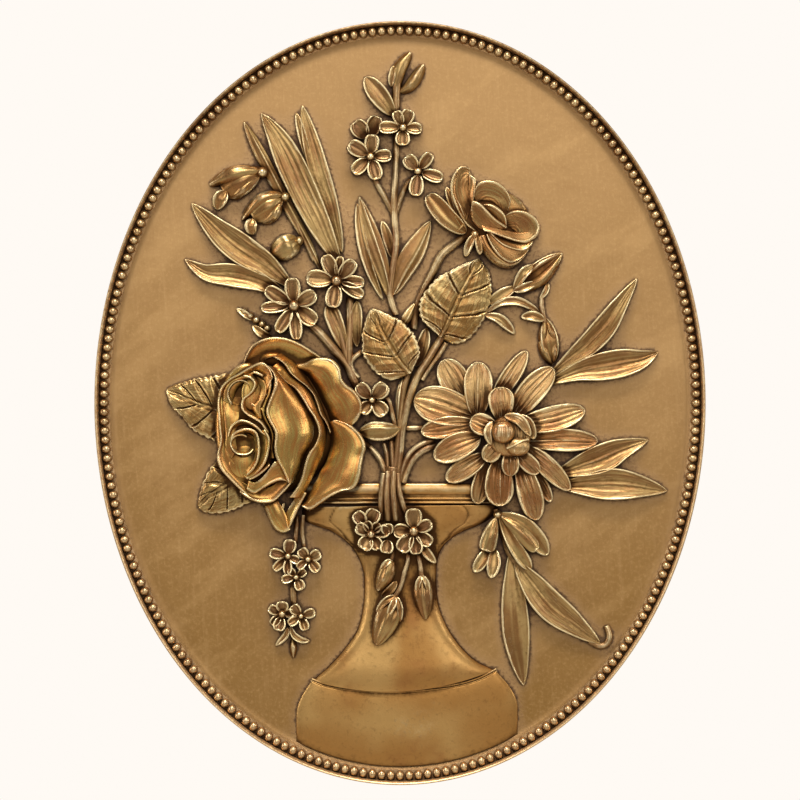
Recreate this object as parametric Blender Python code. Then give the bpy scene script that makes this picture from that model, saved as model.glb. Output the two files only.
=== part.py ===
"""Oval wall plaque in high relief: a vase of flowers on a plain ground, inside a lip and a row of beads.

The plaque is one casting. Its flat back lies on the wall in the plane y = 0, its front faces -Y and
+Z is up. The relief is drawn on a square grid laid over the oval, with its origin at the oval's centre,
and every leaf, petal and stem is a small solid that stands on the ground. One union makes them one body.
"""

import math

import bmesh
import bpy
from mathutils import Vector

# Size of the whole casting
WIDTH = 0.4064
HEIGHT = 0.508
GROUND_THICKNESS = 0.012

# Border, from the outer edge inwards
RIM_DEPTH = 0.0185
BACK_CHAMFER = 0.0015
LIP_WIDTH = 0.0028
LIP_ROUND = 0.0009
BEAD_DIAMETER = 0.0068
BEAD_PITCH = 0.0061
BEAD_FOOT_DEPTH = 0.0145
BEAD_CREST_DEPTH = 0.0182
BEAD_TOP_SHARE = 0.4
SLOPE_WIDTH = 0.0035
BEADS_PER_STATION = 3

# Relief: its drawing grid, how far it stands out and how far its pieces are rooted in the ground
GRID_ACROSS = 612
GRID_UP = 764
RELIEF_RISE = 0.032
RELIEF_SQUARES = 48
ROOT_DEPTH = 0.004
ROOT_SPREAD = 0.4

# Hanging recess in the back, with a roof that slopes up inside so that a screw head is caught
RECESS_WIDTH = 0.024
RECESS_HEIGHT = 0.011
RECESS_DEPTH = 0.0075
RECESS_CATCH = 0.004
RECESS_BELOW_TOP = 0.060

SQUARE_X = WIDTH / GRID_ACROSS
SQUARE_Z = HEIGHT / GRID_UP
SQUARE_Y = RELIEF_RISE / RELIEF_SQUARES
BEAD_ROW_END = LIP_WIDTH + BEAD_DIAMETER
BEAD_LINE_WIDTH = WIDTH - LIP_WIDTH - BEAD_ROW_END
BEAD_LINE_HEIGHT = HEIGHT - LIP_WIDTH - BEAD_ROW_END
BEAD_LINE_SQUEEZE = ((BEAD_LINE_HEIGHT - BEAD_LINE_WIDTH) / (BEAD_LINE_HEIGHT + BEAD_LINE_WIDTH)) ** 2
BEAD_LINE_LENGTH = math.pi / 2 * (BEAD_LINE_WIDTH + BEAD_LINE_HEIGHT) * (1 + BEAD_LINE_SQUEEZE / 4)
STATIONS = 4 * round(BEAD_LINE_LENGTH / BEAD_PITCH / BEADS_PER_STATION / 4)
BEAD_COUNT = STATIONS * BEADS_PER_STATION
GROUND_EDGE = BEAD_ROW_END + SLOPE_WIDTH


# Leaves and petals: base, tip, half width, bow, lifts at base, middle and tip, cup of the edges,
# place of the widest point and how pointed the ends are (1 is an ellipse, 2 a lens)
BLADES = {
    "long_leaf_left_1": ((-74, 148), (-139, 289), 15, 4, (10, 9, 4), 3, 0.45, 1.7),
    "long_leaf_left_2": ((-80, 132), (-158, 281), 7.5, 0, (8, 9, 4), 2, 0.70, 2.0),
    "long_leaf_left_3": ((-66, 165), (-98, 297), 10, 0, (7, 7, 4), 2, 0.62, 1.8),
    "long_leaf_left_4": ((-112, 116), (-208, 199), 15, 2, (11, 8, 4), 3, 0.55, 1.9),
    "long_leaf_left_5": ((-116, 112), (-214, 142), 12, -5, (11, 9, 4), 3, 0.50, 1.8),
    "long_leaf_right_1": ((152, 34), (238, 124), 11, 1, (9, 9, 4), 3, 0.58, 1.9),
    "long_leaf_right_2": ((150, 24), (258, 51), 13, -2, (9, 9, 5), 3, 0.58, 1.8),
    "long_leaf_right_3": ((158, -69), (248, -38), 12, -3, (9, 9, 4), 3, 0.48, 1.9),
    "long_leaf_right_4": ((162, -80), (267, -88), 15, -3, (9, 9, 4), 3, 0.55, 1.8),
    "hanging_leaf_1": ((111, -150), (124, -282), 14, 3, (8, 7, 4), 3, 0.58, 1.7),
    "hanging_leaf_2": ((117, -160), (204, -241), 16, 3, (8, 9, 6), 3, 0.55, 1.7),
    "sprig_leaf_1": ((-9, 104), (-42, 207), 10, -4, (9, 10, 5), 3, 0.60, 1.8),
    "sprig_leaf_2": ((-7, 112), (31, 182), 12, -3, (9, 10, 5), 3, 0.50, 1.8),
    "sprig_leaf_3": ((-7, 146), (-17, 182), 7, 0, (5, 6, 5), 2, 0.55, 1.7),
    "sprig_leaf_4": ((-7, 288), (-35, 326), 9.5, 0, (8, 10, 8), 2, 0.62, 1.4),
    "top_bud_left": ((-5, 314), (11, 351), 7.5, -3, (9, 12, 7), -3, 0.52, 1.7),
    "top_bud_right": ((-2, 313), (25, 340), 6.5, 3, (8, 11, 7), -3, 0.58, 1.6),
    "toothed_leaf_high": ((41, 60), (80, 147), 32, 0, (12, 15, 9), -4, 0.46, 1.35),
    "toothed_leaf_low": ((9, 28), (-30, 95), 26, 0, (18, 19, 13), -4, 0.45, 1.3),
    "rose_leaf_high": ((-160, -12), (-234, 12), 31, 0, (16, 13, 6), -3, 0.32, 1.6),
    "rose_leaf_low": ((-148, -70), (-204, -105), 23, 0, (16, 12, 6), -3, 0.40, 1.5),
    "open_bloom_petal_1": ((66, 168), (26, 206), 10, -2, (15, 17, 13), -4, 0.58, 1.5),
    "open_bloom_petal_2": ((76, 166), (60, 238), 15, -7, (16, 21, 17), 5, 0.58, 1.3),
    "open_bloom_petal_3": ((80, 190), (103, 218), 19, 0, (15, 18, 14), 3, 0.50, 1.2),
    "open_bloom_petal_4": ((72, 200), (110, 181), 11, 5, (22, 25, 20), -3, 0.60, 1.5),
    "open_bloom_petal_5": ((92, 180), (140, 180), 14, 0, (17, 18, 14), 3, 0.60, 1.2),
    "open_bloom_petal_6": ((78, 168), (137, 168), 10, -5, (20, 25, 20), 4, 0.66, 1.4),
    "open_bloom_petal_7": ((74, 163), (124, 146), 16, -9, (17, 21, 15), 4, 0.62, 1.3),
    "side_bud_sepal": ((90, 101), (115, 116), 5.5, 2, (9, 10, 9), -2, 0.50, 1.7),
    "side_bud": ((111, 111), (162, 150), 10, -2, (9, 13, 7), -5, 0.55, 1.6),
    "side_bud_leaf": ((112, 112), (136, 139), 6, 4, (10, 13, 8), -3, 0.55, 1.7),
    "curved_leaf_1": ((86, 89), (139, 90), 5.5, 11, (10, 10, 6), -2, 0.50, 1.6),
    "curved_leaf_2": ((84, 84), (114, 70), 5, 3, (8, 9, 5), -2, 0.50, 1.6),
    "drop_bud_leaf": ((144, 86), (121, 86), 5.5, 2, (8, 9, 5), -2, 0.50, 1.6),
    "drop_bud_calyx": ((146, 88), (150, 60), 8.5, 0, (9, 13, 12), -4, 0.70, 1.2),
    "drop_bud": ((149, 66), (152, 36), 7.5, 0, (11, 11, 5), -4, 0.40, 1.4),
    "bud_high": ((-141, 228), (-190, 218), 9.5, 2, (14, 19, 9), -7, 0.42, 1.4),
    "bud_high_lip": ((-150, 212), (-184, 194), 7, -2, (10, 12, 6), -4, 0.55, 1.4),
    "bud_middle": ((-119, 204), (-154, 182), 8, 2, (13, 17, 10), -6, 0.48, 1.3),
    "bud_middle_lip": ((-124, 196), (-149, 171), 6.5, -2, (10, 12, 6), -4, 0.55, 1.4),
    "bud_low": ((-99, 164), (-130, 151), 11, 0, (13, 18, 13), -7, 0.52, 1.05),
    "middle_bud": ((0, -30), (-38, -32), 8.5, -1, (16, 20, 17), -5, 0.58, 1.5),
    "vase_bud_left": ((-3, -152), (-21, -186), 8.5, -2, (18, 20, 13), -5, 0.45, 1.4),
    "vase_bud_middle": ((-3, -190), (-24, -240), 11.5, -2, (16, 21, 14), -6, 0.42, 1.3),
    "vase_bud_right": ((22, -172), (26, -215), 9, 1, (15, 19, 12), -5, 0.45, 1.3),
    "vase_leaf_right": ((18, -143), (36, -160), 5.5, 1, (16, 15, 11), -2, 0.45, 1.7),
    "garland_leaf_left": ((-111, -221), (-126, -243), 4.5, 2, (9, 8, 5), -2, 0.45, 1.6),
    "garland_leaf_right": ((-111, -222), (-89, -239), 5, -3, (9, 8, 5), -2, 0.50, 1.6),
    "garland_bud": ((-107, -228), (-107, -255), 5, 0, (8, 10, 6), -3, 0.45, 1.4),
}

# Outer petals of the large daisy, from the far ones to the near ones, in the same terms
DAISY_PETALS = [
    ((68, 0), (42, 42), 15, 0, (14, 15, 12), 3, 0.60, 1.2),
    ((95, 8), (127, 52), 9.5, 2, (13, 14, 11), 3, 0.55, 1.6),
    ((134, -66), (152, -98), 6.5, 1, (12, 13, 10), 2, 0.60, 1.2),
    ((84, -60), (77, -100), 8.5, 1, (14, 15, 12), 2, 0.60, 1.2),
    ((128, -38), (197, -36), 10.5, 1, (16, 15, 12), 3, 0.55, 1.5),
    ((72, -12), (14, 2), 18, 2, (18, 19, 16), 3, 0.62, 1.2),
    ((77, -12), (78, 42), 15, 0, (18, 18, 16), 3, 0.62, 1.2),
    ((112.6, -14.7), (152.6, 33.6), 14, 2, (17.4, 18.6, 15), 3, 0.56, 1.4),
    ((118, -20), (183, -9), 12, 1, (20, 18, 14), 3, 0.56, 1.4),
    ((74, -20), (22, -29), 10, 3, (19, 19, 17), -2, 0.55, 1.5),
    ((84, -54), (47, -78), 11, 1, (16, 17, 14), 3, 0.56, 1.3),
    ((78, -34), (36, -55), 12.5, 2, (20, 21, 18), 3, 0.55, 1.4),
    ((118, -58), (134, -115), 13, -2, (17, 18, 14), 3, 0.56, 1.5),
    ((130, -46), (169, -84), 10.5, 3, (19, 18, 14), 3, 0.50, 1.5),
    ((99, -52), (99, -102), 14.5, 0, (20, 21, 18), 3, 0.62, 1.2),
    ((100, -14), (99, 15), 14, 0, (24, 26, 24), 4, 0.60, 1.1),
    ((116, -46), (139, -69), 9, 1, (24, 24, 20), 3, 0.60, 1.4),
    ((110, -46), (109, -72), 9.5, 0, (25, 26, 22), 3, 0.56, 1.3),
    ((94, -24), (70, -18), 12, 0, (26, 28, 26), 3, 0.60, 1.1),
    ((96, -34), (84, -56), 9.5, 0, (26, 28, 25), 3, 0.55, 1.1),
    ((108, -16), (134, -34), 8, -4, (27, 30, 26), 3, 0.50, 1.3),
]

# Balls and buttons: centre, half width across, half height up and crown lift
BUTTONS = {
    "daisy_eye": ((107, -32), 21, 21, 35),
    "daisy_eye_ball": ((103, -30), 13, 13, 41),
    "bud_high_cup": ((-138, 230), 6, 5, 15),
    "bud_middle_cup": ((-117, 207.5), 5, 5, 15.5),
    "bud_low_cup": ((-100, 165), 4, 4, 14),
}

# Small blossoms: centre, lift, button radius, then each petal's centre, half length, half width, turn
BLOSSOMS = {
    "top_blossom_back": ((-33, 268), 8, 3, [(-42, 273, 11, 9, 120), (-24, 277, 11, 8, 70)]),
    "top_blossom_1": (
        (2, 275), 15, 4,
        [
            (-11, 274, 10, 6.5, 180), (-5, 287, 7, 6, 110), (8, 285, 9, 7, 60),
            (17, 271, 7, 6, -10), (3, 264, 7, 7, -85),
        ],
    ),
    "top_blossom_2": (
        (-30, 246), 16, 4,
        [
            (-43, 253, 9, 8, 150), (-27, 258, 9, 7, 85), (-17, 246, 9, 6.5, 0),
            (-25, 232, 9, 7.5, -70), (-41, 234, 9, 7, -135),
        ],
    ),
    "top_blossom_3": (
        (18, 232), 14, 3.5,
        [
            (10, 239, 9, 7, 130), (25, 242, 9, 5.5, 50), (33, 226, 11, 6, -20),
            (15, 217, 9.5, 6.5, -95),
        ],
    ),
    "left_blossom_1": (
        (-66, 121), 16, 5,
        [
            (-84, 123, 11, 8, 180), (-71, 138, 11, 7, 110), (-54, 134, 10, 8, 50),
            (-49, 119, 11, 5.5, -5), (-52, 110, 13, 6, -25), (-69, 105, 10, 8, -95),
        ],
    ),
    "left_blossom_2": (
        (-106, 97), 17, 5.5,
        [
            (-108, 118, 8, 7.5, 95), (-124, 106, 13, 7, 150), (-131, 94, 10, 5, 185),
            (-117, 84, 10, 7, -125), (-101, 75, 11, 6.5, -80), (-91, 88, 11, 8, -35),
            (-92, 108, 9, 8, 35),
        ],
    ),
    "middle_blossom": (
        (-29, 2), 18, 3.5,
        [
            (-38, 14, 7.5, 7, 130), (-21, 12, 9, 8, 50), (-20, -6, 9, 7, -45),
            (-36, -6, 7.5, 6, -130),
        ],
    ),
    "vase_blossom_1": (
        (-32, -129), 18, 5,
        [
            (-43, -114, 9, 8, 125), (-26, -112, 9, 8, 70), (-41, -138, 9, 7, -140),
            (-29, -141, 9, 8, -75), (-21, -124, 8, 6, 20),
        ],
    ),
    "vase_blossom_2": ((-12, -131), 20, 5, [(-14, -123, 8, 7, 95), (-15, -140, 8, 7, -100)]),
    "vase_blossom_3": (
        (13, -129), 20, 5.5,
        [
            (13, -114, 9, 9, 90), (0, -124, 9, 8, 160), (1, -140, 9, 8, -145),
            (16, -142, 8, 7, -80), (27, -135, 8, 7, -25), (27, -121, 7, 7, 30),
        ],
    ),
    "garland_blossom_1": (
        (-111, -153), 13, 4,
        [
            (-110, -145, 8, 7, 85), (-122, -149, 8, 5, 165), (-120, -161, 8, 5, -140),
            (-107, -161, 6, 5, -60),
        ],
    ),
    "garland_blossom_2": (
        (-93, -156), 13, 3.5,
        [
            (-97, -150, 7, 6, 120), (-85, -151, 7, 6, 35), (-86, -163, 8, 6, -50),
            (-99, -161, 7, 4, -150),
        ],
    ),
    "garland_blossom_3": (
        (-105, -173), 12, 3.5,
        [
            (-113, -176, 7, 5, -160), (-101, -179, 6, 5.5, -60), (-97, -169, 7, 4, 30),
            (-112, -166, 5, 4, 140),
        ],
    ),
    "garland_blossom_4": (
        (-119, -211), 12, 4,
        [
            (-117, -204, 7, 7, 80), (-127, -208, 6, 5.5, 165), (-124, -218, 7, 6, -125),
            (-112, -215, 6, 5, -25),
        ],
    ),
    "garland_blossom_5": (
        (-99, -213), 12, 3,
        [
            (-104, -207, 6.5, 6, 125), (-91, -209, 7.5, 5, 20), (-95, -221, 7.5, 5, -65),
            (-107, -218, 7, 4, -145),
        ],
    ),
}

# Stems: half width, crown lift and the points that they run through
STEMS = {
    "sprig_stem": (3.8, 11, [(-4, 320), (-5, 292), (-4, 240), (-5, 190), (-5, 150), (-9, 120), (-3, 88)]),
    "sprig_stalk_left": (2.6, 9, [(-6, 208), (-16, 218), (-26, 228)]),
    "sprig_stalk_right": (2.6, 9, [(-2, 200), (5, 213), (14, 224)]),
    "bloom_stem": (3.2, 11, [(68, 164), (52, 158), (38, 140), (24, 112), (14, 85), (8, 66)]),
    "high_leaf_stem": (3.6, 17, [(44, 68), (24, 38), (12, 14), (4, -20), (0, -50), (-3, -80)]),
    "low_leaf_stem": (3.2, 15, [(8, 30), (2, 8), (-1, -30), (-6, -62), (-10, -84)]),
    "daisy_stem": (4.2, 13, [(30, -40), (16, -46), (6, -58), (-1, -78)]),
    "daisy_stalk": (3.0, 11, [(26, -24), (4, -24)]),
    "rose_stem": (4.4, 13, [(-40, -42), (-24, -50), (-14, -64), (-12, -84)]),
    "left_stem_1": (5.0, 13, [(-92, 82), (-68, 56), (-54, 40), (-50, 22), (-40, 8)]),
    "left_stem_2": (4.4, 11, [(-70, 100), (-62, 74), (-54, 46)]),
    "left_stem_3": (4.2, 12, [(-55, 108), (-56, 72), (-52, 42)]),
    "left_stem_4": (5.0, 9, [(-43, 100), (-44, 72), (-48, 50)]),
    "blossom_stem": (3.0, 14, [(-28, 8), (-12, -6), (-2, -28)]),
    "bundle_stem_left": (5.2, 17, [(-15, -72), (-17, -95), (-16, -118)]),
    "bundle_stem_middle": (4.6, 18, [(-7, -70), (-8, -95), (-4, -118)]),
    "bundle_stem_right": (3.8, 16, [(-5, -74), (3, -98), (12, -112)]),
    "vase_stalk_left": (2.6, 15, [(-6, -142), (-6, -154)]),
    "vase_stalk_middle": (3.2, 16, [(6, -146), (3, -168), (-4, -194)]),
    "vase_stalk_right": (2.6, 15, [(17, -146), (21, -160), (22, -176)]),
    "garland_stem_high": (4.2, 10, [(-99, -112), (-101, -130), (-105, -150)]),
    "garland_stem_low": (3.6, 9, [(-106, -178), (-105, -192), (-107, -210)]),
    "drop_bud_stem": (3.4, 9, [(142, 102), (144, 92), (147, 80)]),
    "hanging_stem": (3.4, 9, [(95, -108), (104, -130), (112, -152), (122, -170)]),
    "curled_tip": (3.0, 8, [(186, -236), (200, -242), (208, -238), (209, -229), (205, -222)]),
    "bud_string": (2.2, 8, [(-132, 233), (-110, 198), (-92, 160), (-80, 134)]),
}

# Bands between two edges: points of one edge with its lift, points of the other with its lift, and crown
ROSE_BANDS = {
    "rose_mound": (
        [(-176, 0), (-165, 30), (-130, 56), (-90, 44), (-60, 20)], 12,
        [(-176, -40), (-150, -90), (-115, -104), (-75, -88), (-50, -50)], 12, 12,
    ),
    "rose_drop_petal": (
        [(-135, -98), (-134, -114), (-119, -130), (-107, -117), (-98, -100)], 12,
        [(-128, -88), (-122, -90), (-115, -91), (-108, -90), (-101, -88)], 18, 3,
    ),
    "rose_back_petal": (
        [(-157, 44), (-148, 59), (-125, 66), (-102, 60), (-80, 46)], 22,
        [(-150, 32), (-138, 36), (-120, 34), (-104, 28), (-88, 22)], 20, 3,
    ),
    "rose_right_petal": (
        [(-98, 42), (-76, 47), (-59, 33), (-50, 15), (-40, 0), (-47, -19)], 24,
        [(-94, 26), (-88, 18), (-82, 8), (-77, -2), (-73, -10), (-70, -18)], 22, 8,
    ),
    "rose_low_right_petal": (
        [(-66, -14), (-48, -22), (-36, -40), (-40, -66), (-60, -86), (-86, -104)], 25,
        [(-72, -16), (-72, -30), (-76, -46), (-82, -62), (-88, -78), (-97, -96)], 24, 6,
    ),
    "rose_low_lip": (
        [(-160, -88), (-146, -98), (-128, -98), (-112, -84), (-104, -70)], 30,
        [(-162, -70), (-148, -78), (-134, -78), (-124, -68), (-118, -58)], 27, 0,
    ),
    "rose_left_lip": (
        [(-180, 14), (-182, -12), (-179, -40), (-182, -60), (-168, -80), (-152, -94)], 22,
        [(-168, 8), (-170, -12), (-168, -36), (-164, -54), (-154, -68), (-142, -78)], 32, 0,
    ),
    "rose_top_lip": (
        [(-182, 4), (-176, 22), (-160, 35), (-144, 41), (-130, 34), (-124.6, 18)], 31.4,
        [(-170, 2), (-165, 12), (-156, 18), (-148, 20), (-140, 15), (-134.5, 5.5)], 33, 2,
    ),
    "rose_high_edge": (
        [(-142, 47), (-126, 46), (-114, 31), (-98, 19), (-86, 0), (-76, -22)], 33,
        [(-140, 34), (-130, 30), (-120, 16), (-108, 4), (-98, -10), (-88, -28)], 28, 0,
    ),
    "rose_long_edge": (
        [(-94, -8), (-83, -24), (-86, -40), (-97, -62), (-106, -84), (-116, -96)], 35,
        [(-104, -12), (-99, -26), (-102, -42), (-110, -58), (-116, -72), (-124, -82)], 30, 2,
    ),
    "rose_inner_petal": (
        [(-128, 36), (-126, 20), (-133, -4), (-124, -26), (-127, -46), (-122, -62)], 44,
        [(-112, 28), (-103, 8), (-96, -10), (-98, -30), (-106, -48), (-114, -66)], 34, 5,
    ),
    "rose_heart": (
        [(-172, -24), (-160, -16), (-144, -19), (-132, -34), (-133, -54)], 38,
        [(-172, -40), (-166, -58), (-152, -70), (-140, -70), (-130, -62)], 36, 4,
    ),
    "rose_swirl": (
        [(-174, 8), (-166, 21), (-150, 22), (-136, 8), (-130, -8)], 36,
        [(-168.6, -3.2), (-160, -6), (-152, -10), (-144, -16), (-134, -24)], 36, 3,
    ),
}
VASE_BANDS = {
    "vase_body": (
        [
            (-97, -98), (-80, -119), (-62, -133), (-46, -151), (-38, -176), (-39, -208),
            (-50, -238), (-67, -260), (-84, -275),
        ], 2,
        [
            (97, -98), (80, -119), (62, -133), (46, -151), (38, -176), (39, -208), (50, -232),
            (72, -254), (95, -267),
        ], 2, 9,
    ),
    "vase_drum": (
        [(-80, -270), (-96, -285), (-102, -305), (-103, -342)], 4,
        [(92, -262), (109, -283), (115, -308), (116, -335)], 4, 6,
    ),
}
VASE_SAGS = {"vase_body": (2, 14), "vase_drum": (22, 28)}
BUTTON_TOP_SHARE = 0.62
BUTTON_CORNERS = 10
SMALL_BUTTON_CORNERS = 5
BUTTON_PROUD = 3
TINY_BLADE = 33
SHORT_BLADE = 45
LONG_BLADE = 90
VASE_MOUTH_ENDS = ((-100, -88), (100, -88))
VASE_MOUTH_HALF = 8.5
VASE_MOUTH_LIFT = 11
TRUMPETS = {
    "trumpet_left": ((94, -113), (85, -168), 13.5, 2, (7, 14, 12)),
    "trumpet_right": ((98, -110), (138, -154), 13, -2, (7, 14, 12)),
}
WHEAT_GRAINS = [(-159, 91), (-152, 88), (-146, 83), (-140, 79), (-133, 75), (-127, 70)]
WHEAT_RADIUS = 5.5
WHEAT_LIFT = 11

GILT = (0.46, 0.27, 0.10, 1.0)
GILT_ROUGHNESS = 0.42
GILT_METALLIC = 0.8


def place(x, z, lift):
    """The point of the front at x squares across and z squares up, lifted off the ground."""
    return Vector((x * SQUARE_X, -(GROUND_THICKNESS + lift * SQUARE_Y), z * SQUARE_Z))


def curve_through(points, share):
    """The point at this share of a smooth curve through the points."""
    spans = len(points) - 1
    at = min(max(share, 0.0), 1.0) * spans
    span = min(int(at), spans - 1)
    t = at - span
    before = points[max(span - 1, 0)]
    start = points[span]
    end = points[span + 1]
    after = points[min(span + 2, spans)]
    return Vector(
        [
            0.5 * (2 * b + (c - a) * t + (2 * a - 5 * b + 4 * c - d) * t**2 + (3 * b - a - 3 * c + d) * t**3)
            for a, b, c, d in zip(before, start, end, after)
        ]
    )


def across(points, share, step=0.02):
    """The unit vector that points left of a curve's way at this share of it."""
    way = curve_through(points, share + step) - curve_through(points, share - step)
    return Vector((-way.y, way.x)).normalized()


def three_lifts(lifts, share):
    """A lift that runs smoothly through those at the start, the middle and the end."""
    start, middle, end = lifts
    bend = 2 * (start + end) - 4 * middle
    return start + (end - start - bend) * share + bend * share**2


def clear_scene():
    for old in list(bpy.data.objects):
        bpy.data.objects.remove(old, do_unlink=True)


def gilt_material():
    material = bpy.data.materials.new("antique_gilt")
    material.use_nodes = True
    shader = material.node_tree.nodes["Principled BSDF"]
    shader.inputs["Base Color"].default_value = GILT
    shader.inputs["Roughness"].default_value = GILT_ROUGHNESS
    shader.inputs["Metallic"].default_value = GILT_METALLIC
    return material


def add_object(name, bm, collection):
    bmesh.ops.recalc_face_normals(bm, faces=bm.faces[:])
    if bm.calc_volume(signed=True) < 0:
        bmesh.ops.reverse_faces(bm, faces=bm.faces[:])
    mesh = bpy.data.meshes.new(name)
    bm.to_mesh(mesh)
    bm.free()
    made = bpy.data.objects.new(name, mesh)
    collection.objects.link(made)
    return made


def add_helper(name, bm, collection):
    helper = add_object(name, bm, collection)
    helper.hide_render = True
    helper.display_type = "WIRE"
    return helper


def root_drop(collection):
    """How far the next piece is rooted, a little different each time so that no two roots share a plane."""
    turn = (len(collection.objects) * 0.618) % 1.0
    return Vector((0.0, ROOT_DEPTH * (1 + ROOT_SPREAD * turn), 0.0))


def relief_piece(name, where, lift, along, sides, collection):
    """A closed solid rooted in the ground: where(s, v) is its outline on the grid, lift(s, v) its front."""
    bm = bmesh.new()
    bmesh.ops.create_grid(bm, x_segments=along, y_segments=sides, size=1.0)
    raised = bmesh.ops.extrude_face_region(bm, geom=bm.faces[:])
    front = [v for v in raised["geom"] if isinstance(v, bmesh.types.BMVert)]
    bmesh.ops.translate(bm, verts=front, vec=(0.0, 0.0, 1.0))
    drop = root_drop(collection)
    for vert in bm.verts:
        s = (vert.co.x + 1) / 2
        v = vert.co.y
        spot = where(s, v)
        if vert.co.z > 0.5:
            vert.co = place(spot.x, spot.y, lift(s, v))
        else:
            vert.co = place(spot.x, spot.y, 0.0) + drop
    add_helper(name, bm, collection)


def add_blade(name, blade, collection, sides=0, steps=0):
    """A leaf or petal: a bowed strip that swells to its half width, with its edges cupped up or down."""
    base, tip, half, bow, lifts, cup, widest, point = blade
    start = Vector(base)
    end = Vector(tip)
    length = (end - start).length
    along = steps or (3 if length < SHORT_BLADE else 4 if length < LONG_BLADE else 5)
    sides = sides or (1 if length < TINY_BLADE else 2)
    left = Vector((start.y - end.y, end.x - start.x)).normalized()
    spine = [start, (start + end) / 2 + left * bow, end]
    blunt = 0.03

    def swell(s):
        t = blunt + (1 - 2 * blunt) * s
        return half * (t / widest) ** (widest * point) * ((1 - t) / (1 - widest)) ** ((1 - widest) * point)

    def where(s, v):
        return curve_through(spine, s) + across(spine, s) * (v * swell(s))

    def lift(s, v):
        return three_lifts(lifts, s) + cup * v * v

    relief_piece(name, where, lift, along, sides, collection)


def add_stem(name, stem, collection):
    half, crown, points = stem
    points = [Vector(point) for point in points]

    def where(s, v):
        return curve_through(points, s) + across(points, s) * (v * half)

    def lift(s, v):
        return crown - half * v * v

    relief_piece(name, where, lift, len(points) - 1, 2, collection)


def add_band(name, band, sag, sides, collection):
    """A strip between two edges, each with its own lift, crowned between them and sagging in the middle."""
    first, first_lift, second, second_lift, crown = band
    first = [Vector(point) for point in first]
    second = [Vector(point) for point in second]

    def where(s, v):
        spot = curve_through(first, s).lerp(curve_through(second, s), (1 + v) / 2)
        drop = (sag[0] + (sag[1] - sag[0]) * s) * (1 - v * v)
        return spot - Vector((0.0, drop))

    def lift(s, v):
        share = (1 + v) / 2
        return first_lift + (second_lift - first_lift) * share + crown * (1 - v * v)

    relief_piece(name, where, lift, len(first) - 1, sides, collection)


def add_button(name, centre, wide, tall, crown, corners, collection):
    """A round boss: a low cone cut off at its crown lift."""
    bm = bmesh.new()
    bmesh.ops.create_cone(
        bm, cap_ends=True, segments=corners, radius1=1.0, radius2=BUTTON_TOP_SHARE, depth=2.0
    )
    drop = root_drop(collection)
    for vert in bm.verts:
        raised = vert.co.z > 0
        spot = place(centre[0] + vert.co.x * wide, centre[1] + vert.co.y * tall, crown if raised else 0.0)
        vert.co = spot if raised else spot + drop
    add_helper(name, bm, collection)


def add_blossom(name, blossom, collection):
    """A small flower: round petals set about a button."""
    centre, lift, button, petals = blossom
    for number, (x, z, long, wide, turn) in enumerate(petals, 1):
        way = Vector((math.cos(math.radians(turn)), math.sin(math.radians(turn))))
        middle = Vector((x, z))
        petal_lift = lift - 0.45 * number
        petal = (
            middle - way * long, middle + way * long, wide, 0,
            (petal_lift - 3, petal_lift - 1, petal_lift), 0, 0.55, 0.9,
        )
        add_blade(f"{name}_petal_{number}", petal, collection, 1, 2)
    crown = lift + BUTTON_PROUD
    add_button(f"{name}_button", centre, button, button, crown, SMALL_BUTTON_CORNERS, collection)


def add_trumpet(name, trumpet, collection):
    """A trumpet flower seen from the side: a cone that opens to a wide mouth."""
    base, tip, half, bow, lifts = trumpet
    add_blade(name, (base, tip, half, bow, lifts, -4, 0.80, 1.0), collection)


def oval(inset, depth, count, shift=0.0):
    """Points of the oval that lies this far inside the edge, evenly spaced along its length."""
    across_half = WIDTH / 2 - inset
    up_half = HEIGHT / 2 - inset
    fine = 4096
    lengths = [0.0]
    for step in range(fine):
        angle = 2 * math.pi * (step + 0.5) / fine
        lengths.append(lengths[-1] + math.hypot(across_half * math.cos(angle), up_half * math.sin(angle)))
    points = []
    step = 0
    for number in range(count):
        wanted = lengths[-1] * ((number + shift) / count)
        while lengths[step + 1] < wanted:
            step += 1
        part = (wanted - lengths[step]) / (lengths[step + 1] - lengths[step])
        angle = 2 * math.pi * (step + part) / fine
        points.append(Vector((across_half * math.sin(angle), -depth, up_half * math.cos(angle))))
    return points


def add_loop(bm, inset, depth, count, shift=0.0):
    return [bm.verts.new(point) for point in oval(inset, depth, count, shift)]


def add_strip(bm, first, second):
    """Quads between two loops of the same count."""
    for i, vert in enumerate(first):
        j = (i + 1) % len(first)
        bm.faces.new((vert, first[j], second[j], second[i]))


def add_fans(bm, coarse, fine):
    """Faces between a coarse loop and one with BEADS_PER_STATION times as many points."""
    for i, vert in enumerate(coarse):
        j = (i + 1) % len(coarse)
        span = [fine[(i * BEADS_PER_STATION + k) % len(fine)] for k in range(BEADS_PER_STATION + 1)]
        half = len(span) // 2
        for k in range(BEADS_PER_STATION):
            if k + 1 < half:
                bm.faces.new((vert, span[k], span[k + 1]))
            elif k + 1 == half:
                bm.faces.new((vert, span[k], span[k + 1]))
                bm.faces.new((vert, span[k + 1], coarse[j]))
            else:
                bm.faces.new((coarse[j], span[k], span[k + 1]))


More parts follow.
